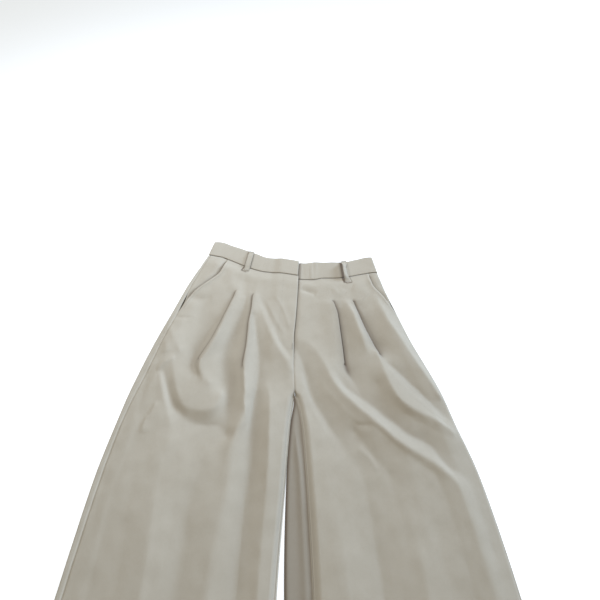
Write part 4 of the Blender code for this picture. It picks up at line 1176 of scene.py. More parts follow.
    def fly_line(self, fly: Sheet) -> Path:
        """The curved row of stitches that holds the fly's inside."""
        y = fly.points[:, -1, 1]
        drop = np.clip((FLY_STITCH_TURN - y) / (FLY_STITCH_TURN - FLY_STITCH_FOOT), 0.0, 1.0)
        inset = FLY_STITCH_EDGE + FLY_STITCH_INSET * np.sqrt(1 - drop**2)
        return line_beside(fly, self.leg.side, inset, True)


def outward(points: Array, sign: int) -> Array:
    """Unit normals of a grid of points; sign turns them to the outside of the cloth."""
    across = np.gradient(points, axis=1)
    down = np.gradient(points, axis=0)
    normal = sign * np.cross(across, down)
    return normal / np.maximum(np.linalg.norm(normal, axis=2, keepdims=True), 1e-12)


def with_hem(points: Array, wear_and_shade: Array, sign: int) -> Sheet:
    """A panel's grid with its hem turned up inside.

    Args:
        points: the panel's grid, whose last row is the hem's fold.
        wear_and_shade: how rubbed each point is, and below zero how much shade is painted on it.
        sign: turns the grid's normals to the outside of the cloth.

    Returns:
        The whole sheet.
    """
    normals = outward(points, sign)
    gap = WEAVE_WALL * HEM_GAP
    rows = [points]
    for angle in (36, 72, 108, 144, 180):
        a = math.radians(angle)
        row = points[-1] - normals[-1] * gap / 2 * (1 - math.cos(a))
        row[:, 1] -= gap / 2 * math.sin(a)
        rows.append(row[None])
    top = points[-1, :, 1].mean() + HEM_TURN
    for row, normal in zip(points[-2::-1], normals[-2::-1]):
        if row[:, 1].mean() > top:
            break
        rows.append((row - normal * gap)[None])
    whole = np.concatenate(rows)
    added = len(whole) - len(points)
    wear_and_shade = np.concatenate([wear_and_shade, np.repeat(wear_and_shade[-1:], added, axis=0)])
    hem = bell(np.arange(len(whole)) - len(points) - 1.5, 2.2)[:, None]
    return Sheet(whole, panel_cloth(whole), wear_and_shade + hem)


def hem_line(flat: Sheet, sign: int, sunk: float = 0.0) -> Path:
    """The row of stitches that holds the hem of a panel, given without its turned-up part."""
    line, up = line_beside(flat.turned(), -sign, HEM_STITCH_INSET, True)
    return line - up * sunk, up


def back_level(leg: Leg, row: Array | float, reach: Array) -> Array:
    """How far the back lies off its front along the leg, so that its two sides meet."""
    inner = ease(reach / leg.width(row), 0.5, 1.0)
    return leg.side * BACK_LEVEL * inner * (1 - ease(np.asarray(row, float), 0.0, 1.0))


@dataclass(frozen=True)
class BackPanel:
    """The back of one leg, which wraps up over both edges to its seams on the top side."""

    leg: Leg
    edge_columns: int = 16
    under_columns: int = 38
    inner_columns: int = 14
    row_share: float = 0.62
    margin: float = 0.0062  # from the side seam to the first even column
    # Shade painted into the colour of the strip of back that shows between the legs:
    gap_shade: float = 0.0
    gap_shade_core: float = 0.40  # its share away from the strip's sides
    gap_shade_width: float = 0.0032
    gap_creases: tuple[Crease, ...] = ()

    def outer_edge(self, rows: Array, seam: Array) -> tuple[Array, Array]:
        """The grid's columns from the side seam down round the outer edge.

        Args:
            rows: the mesh rows.
            seam: the arc of the seam in each row.

        Returns:
            The arcs and the points.
        """
        leg = self.leg
        bottom = -leg.column("roll", rows) * np.pi / 2
        even = spaced(seam - self.margin, bottom, self.edge_columns, True)
        arc = np.concatenate([seam - SEAM_STEPS, even], axis=1)
        x, y, z = leg.top_point(rows, arc)
        z = z + seam_sink(seam - arc) * ease(arc, 0.0, 0.002)
        return arc, np.stack([x, y, z], axis=2)

    def inner_edge(self, rows: Array, seam: Array) -> tuple[Array, Array, Array, Array]:
        """The grid's columns up round the inner edge to the inseam, or to the centre seam.

        Args:
            rows: the mesh rows.
            seam: the arc of the seam in each row.

        Returns:
            The arcs, how far each lies past the edge, its reach, and the points.
        """
        leg = self.leg
        width, split = leg.width(rows), leg.split(rows)
        bottom = -INNER_ROLL * np.pi / 2
        tail = seam - SEAM_STEPS[::-1] * np.minimum(1.0, (seam - bottom) / 0.010)
        even = spaced(np.full_like(seam, bottom), tail[:, :1], self.inner_columns)
        arc = np.concatenate([even, tail], axis=1)
        turn, past = rolling(arc, INNER_ROLL)
        tube = width + leg.column("spread", rows) - INNER_ROLL * (1 - np.cos(turn)) - past
        flat = width - SEAM_GAP - (seam - arc) / (seam - bottom) * 4 * INNER_ROLL
        reach = flat + split * (tube - flat)
        rolled = BACK_Z + INNER_ROLL * (1 + np.sin(turn))
        z = (1 - split) * leg.underlay(rows, flat) + split * rolled
        x, y = leg.place(rows, reach)
        for crease in self.gap_creases:
            z = z + crease.height(x, y) * ease(past, 0.0, 0.003) * ease(seam - arc, 0.0, 0.004)
        return arc, past, reach, np.stack([x, y, z], axis=2)

    def sheet(self) -> Sheet:
        """The panel's grid, from the side seam round underneath to the inseam."""
        leg = self.leg
        rows = leg.rows(self.row_share)
        seam = leg.side_seam(rows) - SEAM_GAP
        inseam = leg.seam_arc(leg.column("spread", rows), INNER_ROLL) - SEAM_GAP
        outer_arc, outer = self.outer_edge(rows, seam)
        arc, past, inner_reach, inner = self.inner_edge(rows, inseam)
        outer_reach = leg.roll_over(rows, outer_arc)[0]
        under = spaced(outer_reach[:, -1:], inner_reach[:, :1], self.under_columns + 1)[:, 1:]
        middle = np.stack([*leg.place(rows, under), leg.underlay(rows, under)], axis=2)
        points = np.concatenate([outer, middle, inner], axis=1)
        reach = np.concatenate([outer_reach, under, inner_reach], axis=1)
        points[:, :, 1] += back_level(leg, rows, reach)
        from_seam = np.concatenate([seam - outer_arc, np.ones_like(under), inseam - arc], axis=1)
        # Shade painted on that strip, darker along its sides; the strips along the seams are wear.
        from_sides = np.minimum(inseam - arc, past + 0.0008)
        core = self.gap_shade_core
        shade = core + (1 - core) * bell(from_sides, self.gap_shade_width)
        shade = leg.split(rows) * self.gap_shade * shade
        wear_and_shade = bell(from_seam, WEAR_WIDTH)
        wear_and_shade[:, -arc.shape[1] :] -= shade * ease(arc, -0.002, 0.0)
        return with_hem(points, wear_and_shade, -leg.side)

    def make(self, finishes: "Finishes") -> None:
        leg = self.leg
        sheet = self.sheet()
        panel = leg_piece(finishes, "back", leg, sheet, -leg.side)
        flat = sheet.rows(slice(len(leg.rows(self.row_share))))
        line = hem_line(flat, -leg.side, THREAD_SINK)
        sewn = finishes.sewn(f"hem_stitches_back_{leg.name}", [line])
        sheet.cut()


@dataclass(frozen=True)
class PocketFacing:
    """The cloth behind a slanted pocket mouth, from the side seam in under the front."""

    leg: Leg
    columns: int = 26
    margin: float = 0.0065  # from the seam to the first even column
    covered: tuple[float, float] = (-0.012, -0.002)  # from the mouth: begins and is under the front
    sinks: tuple[float, float] = (-0.014, -0.002)  # from the mouth: begins to lie deeper and does
    depth: float = LAYER + 0.0006  # how far under the front it lies
    mouth_depth: float = 0.0018  # how much further it lies at the pocket's mouth
    mouth_width: float = 0.006
    waist_depth: float = 0.0005  # how much further it lies at the waist seam
    # Shade painted into the facing's colour along the pocket's mouth:
    shade: float = 0.85  # how dark it is along the mouth
    shade_width: float = 0.0030

    def sheet(self) -> Sheet:
        """The facing's grid."""
        leg = self.leg
        rows = leg.rows()
        rows = rows[leg.mouth_reach(rows) > 0.0][:, None]
        mouth = leg.mouth_reach(rows)
        seam_reach = leg.roll_over(rows, leg.side_seam(rows))[0]
        under_all = ease(seam_reach - mouth, *self.covered)
        seam = leg.side_seam(rows) + SEAM_GAP + 2 * CLOTH * under_all
        end = np.maximum(mouth, seam_reach) + FACING_UNDER
        even = spaced(seam + self.margin, end, self.columns, True)
        arc = np.concatenate([seam + SEAM_STEPS, even], axis=1)
        x, y, z = leg.top_point(rows, arc)
        reach = leg.roll_over(rows, arc)[0]
        down = leg.below_waist(rows, reach)
        below = ease(reach - mouth, *self.sinks) * ease(down, -0.004, 0.016)
        z = z - (self.depth + self.mouth_depth * bell(reach - mouth, self.mouth_width)) * below
        z = z + seam_sink(arc - seam) * (1 - under_all) + seam_sink(down) * 0.8
        z = z - self.waist_depth * (1 - ease(down, 0.0, 0.010))
        points = np.stack([x, y, z], axis=2)
        # The shade painted along the mouth goes below zero, beside the seam's wear.
        outside = np.minimum(reach - mouth + 0.001, 0.0)
        painted_shade = self.shade * bell(outside, self.shade_width) * ease(down, 0.0, 0.012)
        return Sheet(points, panel_cloth(points), bell(arc - seam, WEAR_WIDTH) - painted_shade)

    def make(self, finishes: "Finishes") -> None:
        leg = self.leg
        sheet = self.sheet()
        piece = leg_piece(finishes, "pocket_facing", leg, sheet, leg.side)
        sheet.cut()


def band_point(leg: Leg, reach: Array, up: Array | float, lower: bool) -> tuple[Array, Array]:
    """World x and y on the waistband.

    Args:
        leg: the side of the garment.
        reach: how far in from the band's end.
        up: 0 at the waist seam and 1 at the top edge.
        lower: whether this is the back waistband.

    Returns:
        x and y.
    """
    width = leg.width(0.0)
    share = reach / width
    low_x, low_y = leg.place(0.0, reach)
    band = leg.band
    high_x = band.outer_x + share * (band.inner_x - band.outer_x)
    shares, _, top = zip(*leg.waist)
    high_y = band.outer_y + share * (band.inner_y - band.outer_y) - hang(band.dip, share)
    high_y = high_y + MM * smooth(shares, top, share)
    low_y = low_y + GAP
    if lower:
        level = back_level(leg, 0.0, reach)
        low_y = low_y + level
        high_y = high_y + level - BACK_BAND_LOW
    return low_x + up * (high_x - low_x), low_y + up * (high_y - low_y)


# The ridges of the underlap in the left waistband: where each lies, and its height.
UNDERLAP_RIDGES = metres((42.5, -1.6), (48, -0.9), (63, 1.8), (71.2, 1.5))

# Slow waves along the waistband, each a size and a length: two for how its wall swells,
# which act together, two for how it strays up and down, and one for how it lifts.
BAND_WAVES = ((0.10, 0.013), (1.0, 0.029), (0.0007, 0.0125), (0.0005, 0.0071), (0.00035, 0.021))

# Once round the edge of a folded strip: how far up it each point lies, and how far out.
BAND_RING = (
    (0.012, 0.72), (0.04, 0.97), (0.12, 1.03), (0.30, 1.07), (0.50, 1.09), (0.70, 1.07),
    (0.88, 1.04), (0.965, 0.98), (0.988, 0.70), (1.0, 0.0), (0.985, -0.70), (0.95, -1.0),
    (0.70, -1.0), (0.50, -1.0), (0.30, -1.0), (0.05, -1.0), (0.012, -0.72), (0.0, 0.0),
)


@dataclass(frozen=True)
class Waistband:
    """The waistband, a strip folded double: a right and a left front, and one back."""

    right: Leg
    left: Leg
    wall: float = BAND_CLOTH
    stations: int = 64
    end_stations: int = 7
    back_start: float = 0.004  # from the back's rolled end to its next station
    back_gap: float = 0.002  # from its last station to the middle of the garment

    def rings(self, leg: Leg, reach: Array, z: Array, turn: Array, lower: bool) -> Array:
        """Rings of points round the band.

        Args:
            leg: the side of the garment.
            reach: how far in each station lies.
            z: height of the band's middle at each station.
            turn: how far the band has turned up from its outermost point, in radians.
            lower: whether this is the back waistband.

        Returns:
            stations x ring x 3.
        """
        starts = np.random.default_rng(21 + leg.side + 4 * lower).uniform(0.0, math.tau, 5)
        ring = []
        for up, off in BAND_RING:
            x, y = band_point(leg, reach, up, lower)
            waves = [
                size * np.sin(x / length + start)
                for (size, length), start in zip(BAND_WAVES, starts)
            ]
            crown = waves[0] * waves[1] * (0.1 < up < 0.9)
            half = self.wall / 2 * off * (1 + crown)
            sway = up**2 * (waves[2] + waves[3])
            lift = up * waves[4] * (not lower)
            if leg.side > 0 and not lower and off > 0:
                inside = ease(up, 0.0, 0.08) * ease(1 - up, 0.0, 0.04)
                for at, size in UNDERLAP_RIDGES:
                    lift = lift + size * bell(x - at - 0.004 * (up - 0.5), 0.0015) * inside
            out, high = leg.side * np.cos(turn) * half, np.sin(turn) * half
            ring.append(np.stack([x + out, y + sway, z + high + lift], axis=1))
        return np.stack(ring, axis=1)

    def front(self, leg: Leg) -> tuple[Array, Array]:
        """Rings of one front waistband, from its rolled end to the fly, and the shade painted on
        them.
        """
        width = float(leg.width(0.0))
        under = BAND_UNDERLAP if leg.side > 0 else 0.0
        rolled = np.linspace(GAP / 2, BAND_ROLL * np.pi / 2, self.end_stations, endpoint=False)
        flat = np.linspace(BAND_ROLL * np.pi / 2, width + under, self.stations)
        arc = np.concatenate([rolled, flat])
        turn, past = rolling(arc, BAND_ROLL)
        reach = BAND_ROLL * (1 - np.cos(turn)) + past
        middle = BAND_BACK_Z + BAND_ROLL
        z = middle + (leg.band_level(reach) - middle) * np.sin(turn)
        rings = self.rings(leg, reach, z, turn, False)
        # Shade painted beside the belt loop and at the band's end by the fly; the first of depth
        # and spread is how dark, the second how wide.
        depth, spread = (0.75, 0.0035) if leg.side > 0 else (0.8, 0.0009)
        shade = np.maximum(leg.loop_shade(reach, 0.0), depth * bell(width - reach, spread))
        return rings, -np.repeat(shade[:, None], rings.shape[1], axis=1)

    def back(self) -> Array:
        """Rings of the back waistband, from its right end round underneath to its left."""
        halves = []
        for leg in (self.right, self.left):
            turn = -np.linspace(GAP / 2 / BAND_ROLL, np.pi / 2, self.end_stations)
            ends = BAND_ROLL + self.back_start, float(leg.width(0.0)) - self.back_gap
            flat = np.linspace(*ends, self.stations // 2)
            reach = np.concatenate([BAND_ROLL * (1 - np.cos(turn)), flat])
            turn = np.concatenate([turn, np.full(flat.shape, -np.pi / 2)])
            z = BAND_BACK_Z + BAND_ROLL * (1 + np.sin(turn))
            rings = self.rings(leg, reach, z, turn, True)
            halves.append(rings if leg.side < 0 else rings[::-1])
        return np.concatenate(halves)

    def make(self, finishes: "Finishes") -> None:
        back = self.back()
        strips = {
            "front_right": self.front(self.right),
            "front_left": self.front(self.left),
            "back": (back, np.zeros(back.shape[:2])),
        }
        for name, (rings, wear_and_shade) in strips.items():
            piece = ring_object(f"waistband_{name}_cloth", rings, wear_and_shade)
            dress(piece, finishes.cloth, "cloth", f"waistband_{name}")


@dataclass(frozen=True)
class BeltLoop:
    """A belt loop: a narrow folded strip whose ends are turned under and sewn down."""

    leg: Leg
    share: float
    stand: float = 0.0050
    lean: float = 0.0
    twist: float = 0.0
    below: float = LOOP_BELOW_SEAM
    wall: float = 0.0016
    width: float = LOOP_WIDTH
    edge_inset: float = 0.0042
    tack_inset: float = 0.0008
    tack_shares: tuple[float, float] = (0.06, 0.94)  # where its bar tacks are, along it
    over_edge: float = 0.0006  # how far a front loop stands past the band's top
    leaves: tuple[float, float] = (0.06, 0.30)  # where along it a front loop leaves the cloth
    returns: tuple[float, float] = (0.70, 0.94)  # and where it comes back to it
    clear: float = 0.0002  # between its foot and the cloth under it
    clear_below: float = 0.0001  # the same under the garment
    section: tuple[float, float] = (0.35, 0.75)  # how square it is seen end on: across, out
    turned_end: tuple[float, float] = (0.55, 0.06)  # how much thicker its ends are, how far in
    turned_foot: float = 0.07  # how far in that goes at its foot
    stations: int = 40

    def ring(self) -> Array:
        """The strip seen end on: how far across and how far out each point lies."""
        a = np.linspace(0.0, math.tau, 18, endpoint=False)
        across = np.sign(np.cos(a)) * np.abs(np.cos(a)) ** self.section[0]
        out = np.sign(np.sin(a)) * np.abs(np.sin(a)) ** self.section[1]
        return np.stack([across, out], axis=1)

    def course(self, lower: bool) -> tuple[Array, Array, Array, Array]:
        """Where the loop runs, from its foot below the waist seam to the top.

        Args:
            lower: whether it is sewn to the back.

        Returns:
            The share of the way along, the middle of the strip, and its directions across
            and outwards there.
        """
        leg = self.leg
        width = leg.width(0.0)
        reach = self.share * width
        low = np.array([float(v) for v in band_point(leg, reach, 0.0, lower)])
        high = np.array([float(v) for v in band_point(leg, reach, 1.0, lower)])
        along = (high - low) / np.linalg.norm(high - low)
        start = low - self.below * along
        length = np.linalg.norm(high - start) + (0.0 if lower else self.over_edge)
        t = np.linspace(0.0, 1.0, self.stations)
        rise = ease(t, *self.leaves) * (1 - ease(t, *self.returns)) * (not lower)
        if lower:
            foot = STRAP_CLOTH / 2 + self.clear_below
        else:
            panel = float(leg.top_point(np.array(LOOP_FOOT_ROW), reach)[2]) + WEAVE_WALL / 2
            band = float(leg.band_level(reach)) + BAND_SWELL * BAND_CLOTH / 2
            foot = max(panel, band) + self.wall / 2 + self.clear
        z = foot + self.stand * rise
        bow = self.lean * np.sin(np.pi * t) * rise
        twist = self.twist * rise
        across = np.array((along[1], -along[0]))
        centre = start + t[:, None] * length * along + bow[:, None] * across
        path = np.concatenate([centre, z[:, None]], axis=1)
        forward = np.gradient(path, axis=0)
        forward /= np.linalg.norm(forward, axis=1, keepdims=True)
        side = np.concatenate([np.broadcast_to(across, (len(t), 2)), np.zeros((len(t), 1))], axis=1)
        out = np.cross(side, forward)
        out *= np.sign(out[:, 2:3])
        cos, sin = np.cos(twist)[:, None], np.sin(twist)[:, None]
        return t, path, side * cos + out * sin, out * cos - side * sin

    def half_wall(self, t: Array, lower: bool) -> Array:
        """Half the strip's thickness along it: it is double where its ends are turned under."""
        if lower:
            return np.full(t.shape, STRAP_CLOTH / 2)
        thicker, top = self.turned_end
        turned = 1 + thicker * (bell(t, self.turned_foot) + bell(1 - t, top))
        return self.wall / 2 * turned * np.minimum(1.0, np.sqrt(np.minimum(t, 1 - t) / 0.02 + 0.05))

    def rings(self, lower: bool = False) -> Array:
        """Rings of points along the loop."""
        t, path, side, out = self.course(lower)
        half = self.half_wall(t, lower)[:, None]
        ring = [path + side * (a * self.width / 2) + out * half * b for a, b in self.ring()]
        return np.stack(ring, axis=1)

    def outside(self, lower: bool) -> tuple[Array, Array, Array, Array]:
        """The strip's middle, its directions across and outwards, and how far out thread lies."""
        t, path, side, out = self.course(lower)
        out = -out if lower else out
        lift = self.half_wall(t, lower) + THREAD_LIFT - THREAD_SINK * lower
        return path, side, out, lift[:, None]

    def edge_lines(self, lower: bool) -> list[Path]:
        """The two rows of stitches along the loop's edges."""
        path, side, out, lift = (part[2:-2] for part in self.outside(lower))
        top = path + out * lift
        return [(top + side * offset, out) for offset in (-self.edge_inset, self.edge_inset)]

    def tack_lines(self, lower: bool) -> list[Path]:
        """The bar tacks across both ends of the loop."""
        path, side, out, lift = self.outside(lower)
        across = np.linspace(-1.0, 1.0, 9)[:, None] * (self.width / 2 - self.tack_inset)
        return [
            (path[i] + across * side[i] + out[i] * lift[i], np.repeat(out[i : i + 1], 9, axis=0))
            for i in (round(self.stations * share) for share in self.tack_shares)
        ]


@dataclass(frozen=True)
class Zip:
    """The zip on the left front's underlap, hidden by the fly: its tape and its row of teeth."""

    leg: Leg
    inset: float = 0.006
    width: float = 0.020
    wall: float = 0.0004
    teeth_at: float = 0.010
    lift: float = 0.0002
    first_row: float = 0.05
    last_row: float = 2.7

    def sheet(self) -> Sheet:
        """The tape's grid."""
        leg = self.leg
        rows = np.linspace(self.first_row, self.last_row, 60)[:, None]
        across = np.linspace(self.inset, self.inset + self.width, 9)[None, :]
        arc = leg.width(rows) + leg.unroll(rows) + across
        x, y, z = leg.top_point(rows, arc)
        points = np.stack([x, y, z + (WEAVE_WALL + self.wall) / 2 + self.lift], axis=2)
        return Sheet(points, panel_cloth(points), np.zeros(points.shape[:2]))

    def make(self, finishes: "Finishes") -> None:
        sheet = self.sheet()
        piece = sheet_object("fly_zip_tape", sheet, 1, self.wall)
        dress(piece, finishes.tape, "zip", "fly_zip")
        points, up = line_beside(sheet, 1, self.teeth_at)
        points = points - up * (WEAVE_WALL - self.wall) / 2
        teeth = TEETH.sew("fly_zip_teeth", [(points, up)], finishes.stitch_rule, finishes.tape)
        dress(teeth, finishes.tape, "zip")
        sheet.cut()


@dataclass(frozen=True)
class BeltLoops:
    """All the belt loops, by name, with whether each is sewn to the back."""

    loops: tuple[tuple[str, BeltLoop, bool], ...]

    def make(self, finishes: "Finishes") -> None:
        for name, loop, lower in self.loops:
            rings = loop.rings(lower)
            across, out = loop.ring().T
            rubbed = np.broadcast_to(bell(np.abs(across) - 1, 0.06) * (out > 0), rings.shape[:2])
            piece = ring_object(f"belt_loop_{name}_cloth", rings, rubbed)
            dress(piece, finishes.cloth, "cloth", f"belt_loop_{name}")
            edges = finishes.sewn(f"belt_loop_{name}_stitches", loop.edge_lines(lower), LOOP_EDGE)
            tacks = finishes.sewn(f"belt_loop_{name}_tacks", loop.tack_lines(lower), TACK)


def linked(name: str, data: bpy.types.ID) -> Piece:
    """A new object with this data, in the scene."""
    made = bpy.data.objects.new(name, data)
    bpy.context.scene.collection.objects.link(made)
    return made


def make_object(name: str, points: Array, faces: Array, cloth: Array, wear_and_shade: Array) -> Piece:
    """A mesh object from points and quads, with its cloth coordinates, wear and painted shade.

    Args:
        name: the piece's name.
        points: n x 3.
        faces: m x 4.
        cloth: n x 2, metres along the weave.
        wear_and_shade: n values, 0 to 1 where rubbed and below zero where shade is painted.

    Returns:
        The object, linked to the scene.
    """
    mesh = bpy.data.meshes.new(name)
    mesh.from_pydata(points.tolist(), [], faces.tolist())
    uv = mesh.uv_layers.new(name="cloth")
    corners = np.empty(len(mesh.loops), np.int32)
    mesh.loops.foreach_get("vertex_index", corners)
    uv.data.foreach_set("uv", cloth[corners].astype(np.float32).ravel())
    # The attribute holds the cloth's wear above zero and painted shade below zero.
    wear_shade_attribute = mesh.attributes.new("wear_and_shade", "FLOAT", "POINT")
    wear_shade_attribute.data.foreach_set("value", wear_and_shade.astype(np.float32))
    mesh.shade_smooth()
    return linked(name, mesh)


def sheet_object(name: str, sheet: Sheet, sign: int, wall: float) -> Piece:
    """A sheet of cloth given its wall.

    Args:
        name: the piece's name.
        sheet: its grid.
        sign: turns the grid's normals to the outside of the cloth.
        wall: its thickness.

    Returns:
        The object.
    """
    rows, columns = sheet.wear_and_shade.shape
    index = np.arange(rows * columns).reshape(rows, columns)
    corners = (index[:-1, :-1], index[:-1, 1:], index[1:, 1:], index[1:, :-1])
    faces = np.stack(corners[::sign], axis=2).reshape(-1, 4)
    points, cloth = sheet.points.reshape(-1, 3), sheet.cloth.reshape(-1, 2)
    made = make_object(name, points, faces, cloth, sheet.wear_and_shade.ravel())
    solidify = made.modifiers.new("Wall", "SOLIDIFY")
    solidify.thickness = wall
    solidify.offset = 0.0
    return made


def ring_object(name: str, rings: Array, wear_and_shade: Array) -> Piece:
    """A closed strip through rings of points, with both ends filled.

    Args:
        name: the piece's name.
        rings: stations x ring x 3.
        wear_and_shade: how rubbed each point is, and below zero how much shade is painted on it,
            stations x ring.

    Returns:
        The object.
    """
    stations, count, _ = rings.shape
    index = np.arange(stations * count).reshape(stations, count)
    after = np.roll(index, -1, axis=1)
    faces = np.stack([index[:-1], after[:-1], after[1:], index[1:]], axis=2).reshape(-1, 4)
    along = running(steps_along(rings, 0).mean(axis=1))
    round_it = np.linalg.norm(rings - np.roll(rings, 1, axis=1), axis=2).mean(axis=0)
    cloth = np.stack(np.broadcast_arrays(along[:, None], np.cumsum(round_it)[None, :]), axis=2)
    made = make_object(name, rings.reshape(-1, 3), faces, cloth.reshape(-1, 2), wear_and_shade.ravel())
    shape = bmesh.new()
    shape.from_mesh(made.data)
    shape.verts.ensure_lookup_table()
    for end in (index[0], index[-1]):
        shape.faces.new([shape.verts[i] for i in end])
    bmesh.ops.recalc_face_normals(shape, faces=shape.faces)
    shape.to_mesh(made.data)
    shape.free()
    made.data.shade_smooth()
    return made


# Materials.


Given = dict[str | int, object]  # what a node's sockets are set or joined to


class Nodes:
    """Adds and joins the nodes of one tree."""

    def __init__(self, tree: Tree) -> None:
        """Takes the tree and empties it."""
        self.tree = tree
        tree.nodes.clear()

    def add(self, kind: str, inputs: Given | None = None, **settings: object) -> bpy.types.Node:
        """A node with its settings, and its inputs set or joined.

        Args:
            kind: the node's type.
            inputs: for each socket, a value or the output to join to it.
            settings: the node's own properties.

        Returns:
            The node.
        """
        node = self.tree.nodes.new(kind)
        for name, value in settings.items():
            setattr(node, name, value)
        for socket, value in (inputs or {}).items():
            if isinstance(value, Socket):
                self.tree.links.new(value, node.inputs[socket])
            else:
                node.inputs[socket].default_value = value
        return node

    def math(self, operation: str, *values: object) -> Socket:
        """The result of a Math node."""
        return self.add("ShaderNodeMath", dict(enumerate(values)), operation=operation).outputs[0]

    def blend(self, *parts: tuple[object, float]) -> Socket:
        """The sum of values, each given with its share."""
        first, *others = (self.math("MULTIPLY", value, share) for value, share in parts)
        for other in others:
            first = self.math("ADD", first, other)
        return first

    def noise(self, place: Socket, scale: float, detail: float, roughness: float = 0.5) -> Socket:
        """The value of a Noise Texture."""
        given = {"Vector": place, "Scale": scale, "Detail": detail, "Roughness": roughness}
        return self.add("ShaderNodeTexNoise", given).outputs[0]

    def spread(self, value: object, **ends: float) -> Socket:
        """A value carried from one range to another, whose ends are from_min, to_max and so on."""
        given = {name.title().replace("_", " "): end for name, end in ends.items()}
        return self.add("ShaderNodeMapRange", {"Value": value, **given}).outputs[0]

    def around(self, value: object, middle: float, low: float, high: float) -> Socket:
        """A value from 0 to 1 as one from a little to one side of a middle to the other."""
        return self.spread(value, to_min=middle + low, to_max=middle + high)

    def group(self, tree: Tree, inputs: Given) -> bpy.types.NodeOutputs:
        """The results of a shader group."""
        return self.add("ShaderNodeGroup", inputs, node_tree=tree).outputs

    def mix(self, factor: object, *colours: Point | Socket) -> Socket:
        """A colour between two others."""
        first, second = ((*c, 1.0) if isinstance(c, tuple) else c for c in colours)
        given = {"Factor": factor, 6: first, 7: second}
        return self.add("ShaderNodeMix", given, data_type="RGBA").outputs[2]

    def bump(self, height: object, strength: float, distance: float, **base: object) -> Socket:
        """A normal turned by a height."""
        given = {"Height": height, "Strength": strength, "Distance": distance, **base}
        return self.add("ShaderNodeBump", given).outputs[0]


class Surface(Nodes):
    """The nodes of one material."""

    def __init__(self, name: str) -> None:
        """Makes the material, with nothing in it."""
        self.material = bpy.data.materials.new(name)
        self.material.use_nodes = True
        super().__init__(self.material.node_tree)

    @property
    def place(self) -> Socket:
        """Where a point of the piece lies."""
        return self.add("ShaderNodeTexCoord").outputs["Object"]

    def finished(self, inputs: Given) -> Material:
        """The material, with a Principled surface that has these inputs."""
        shader = self.add("ShaderNodeBsdfPrincipled", inputs)
        self.add("ShaderNodeOutputMaterial", {"Surface": shader.outputs[0]})
        return self.material


def new_group(
    name: str, inputs: dict[str, str], outputs: Sequence[str]
) -> tuple[Nodes, bpy.types.NodeOutputs]:
    """An empty shader group.

    Args:
        name: the group's name.
        inputs: the socket type of each input, by name.
        outputs: the names of its outputs, which are values.

    Returns:
        The group's node adder, and what the group is given.
    """
    group = bpy.data.node_groups.new(name, "ShaderNodeTree")
    for socket, kind in inputs.items():
        group.interface.new_socket(socket, in_out="INPUT", socket_type=kind)
    for socket in outputs:
        group.interface.new_socket(socket, in_out="OUTPUT", socket_type="NodeSocketFloat")
    nodes = Nodes(group)
    return nodes, nodes.add("NodeGroupInput").outputs


def twill_group() -> Tree:
    """A twill weave: slanting ribs broken by the threads that cross them."""
    sockets = {"Cloth": "NodeSocketVector", "Ribs per Metre": "NodeSocketFloat"}
    nodes, given = new_group("twill_weave", sockets, ("Height", "Tone"))
    split = nodes.add("ShaderNodeSeparateXYZ", {0: given["Cloth"]})
    slub = nodes.noise(given["Cloth"], 260.0, 2.0)
    ribs = given["Ribs per Metre"]
    across, down = (nodes.math("MULTIPLY", split.outputs[i], ribs) for i in (0, 1))
    slant = nodes.blend((across, 1.0), (down, 0.5), (slub, 1.3))
    rib = nodes.math("SINE", nodes.math("MULTIPLY", slant, math.tau))
    cross = nodes.math("SINE", nodes.math("MULTIPLY", down, 2.0 * math.tau))
    height = nodes.math("ADD", nodes.blend((rib, 0.36), (cross, 0.14)), 0.5)
    tone = nodes.blend((height, 0.5), (slub, 0.5))
    nodes.add("NodeGroupOutput", {"Height": height, "Tone": tone})
    return nodes.tree


def unevenness_group() -> Tree:
    """Slow changes of tone and fine creasing, as on cloth that has been worn and washed.
    The tone also follows the wear and the painted shade that it is given.
    """
    sockets = {"Place": "NodeSocketVector", "Wear and Shade": "NodeSocketFloat"}
    nodes, given = new_group("cloth_unevenness", sockets, ("Tone", "Height"))
    grains = ((7.0, 3.0, 0.55), (90.0, 4.0, 0.6), (700.0, 2.0, 0.6))
    broad, small, fine = (nodes.noise(given["Place"], *sizes) for sizes in grains)
    tone = nodes.blend((broad, 0.6), (small, 0.4), (given["Wear and Shade"], 0.25))
    height = nodes.blend((small, 0.7), (fine, 0.3))
    nodes.add("NodeGroupOutput", {"Tone": tone, "Height": height})
    return nodes.tree


class Turn(Enum):
    """Which way stitches lie on their line."""

    ALONG = 0.0
    ACROSS = math.pi / 2


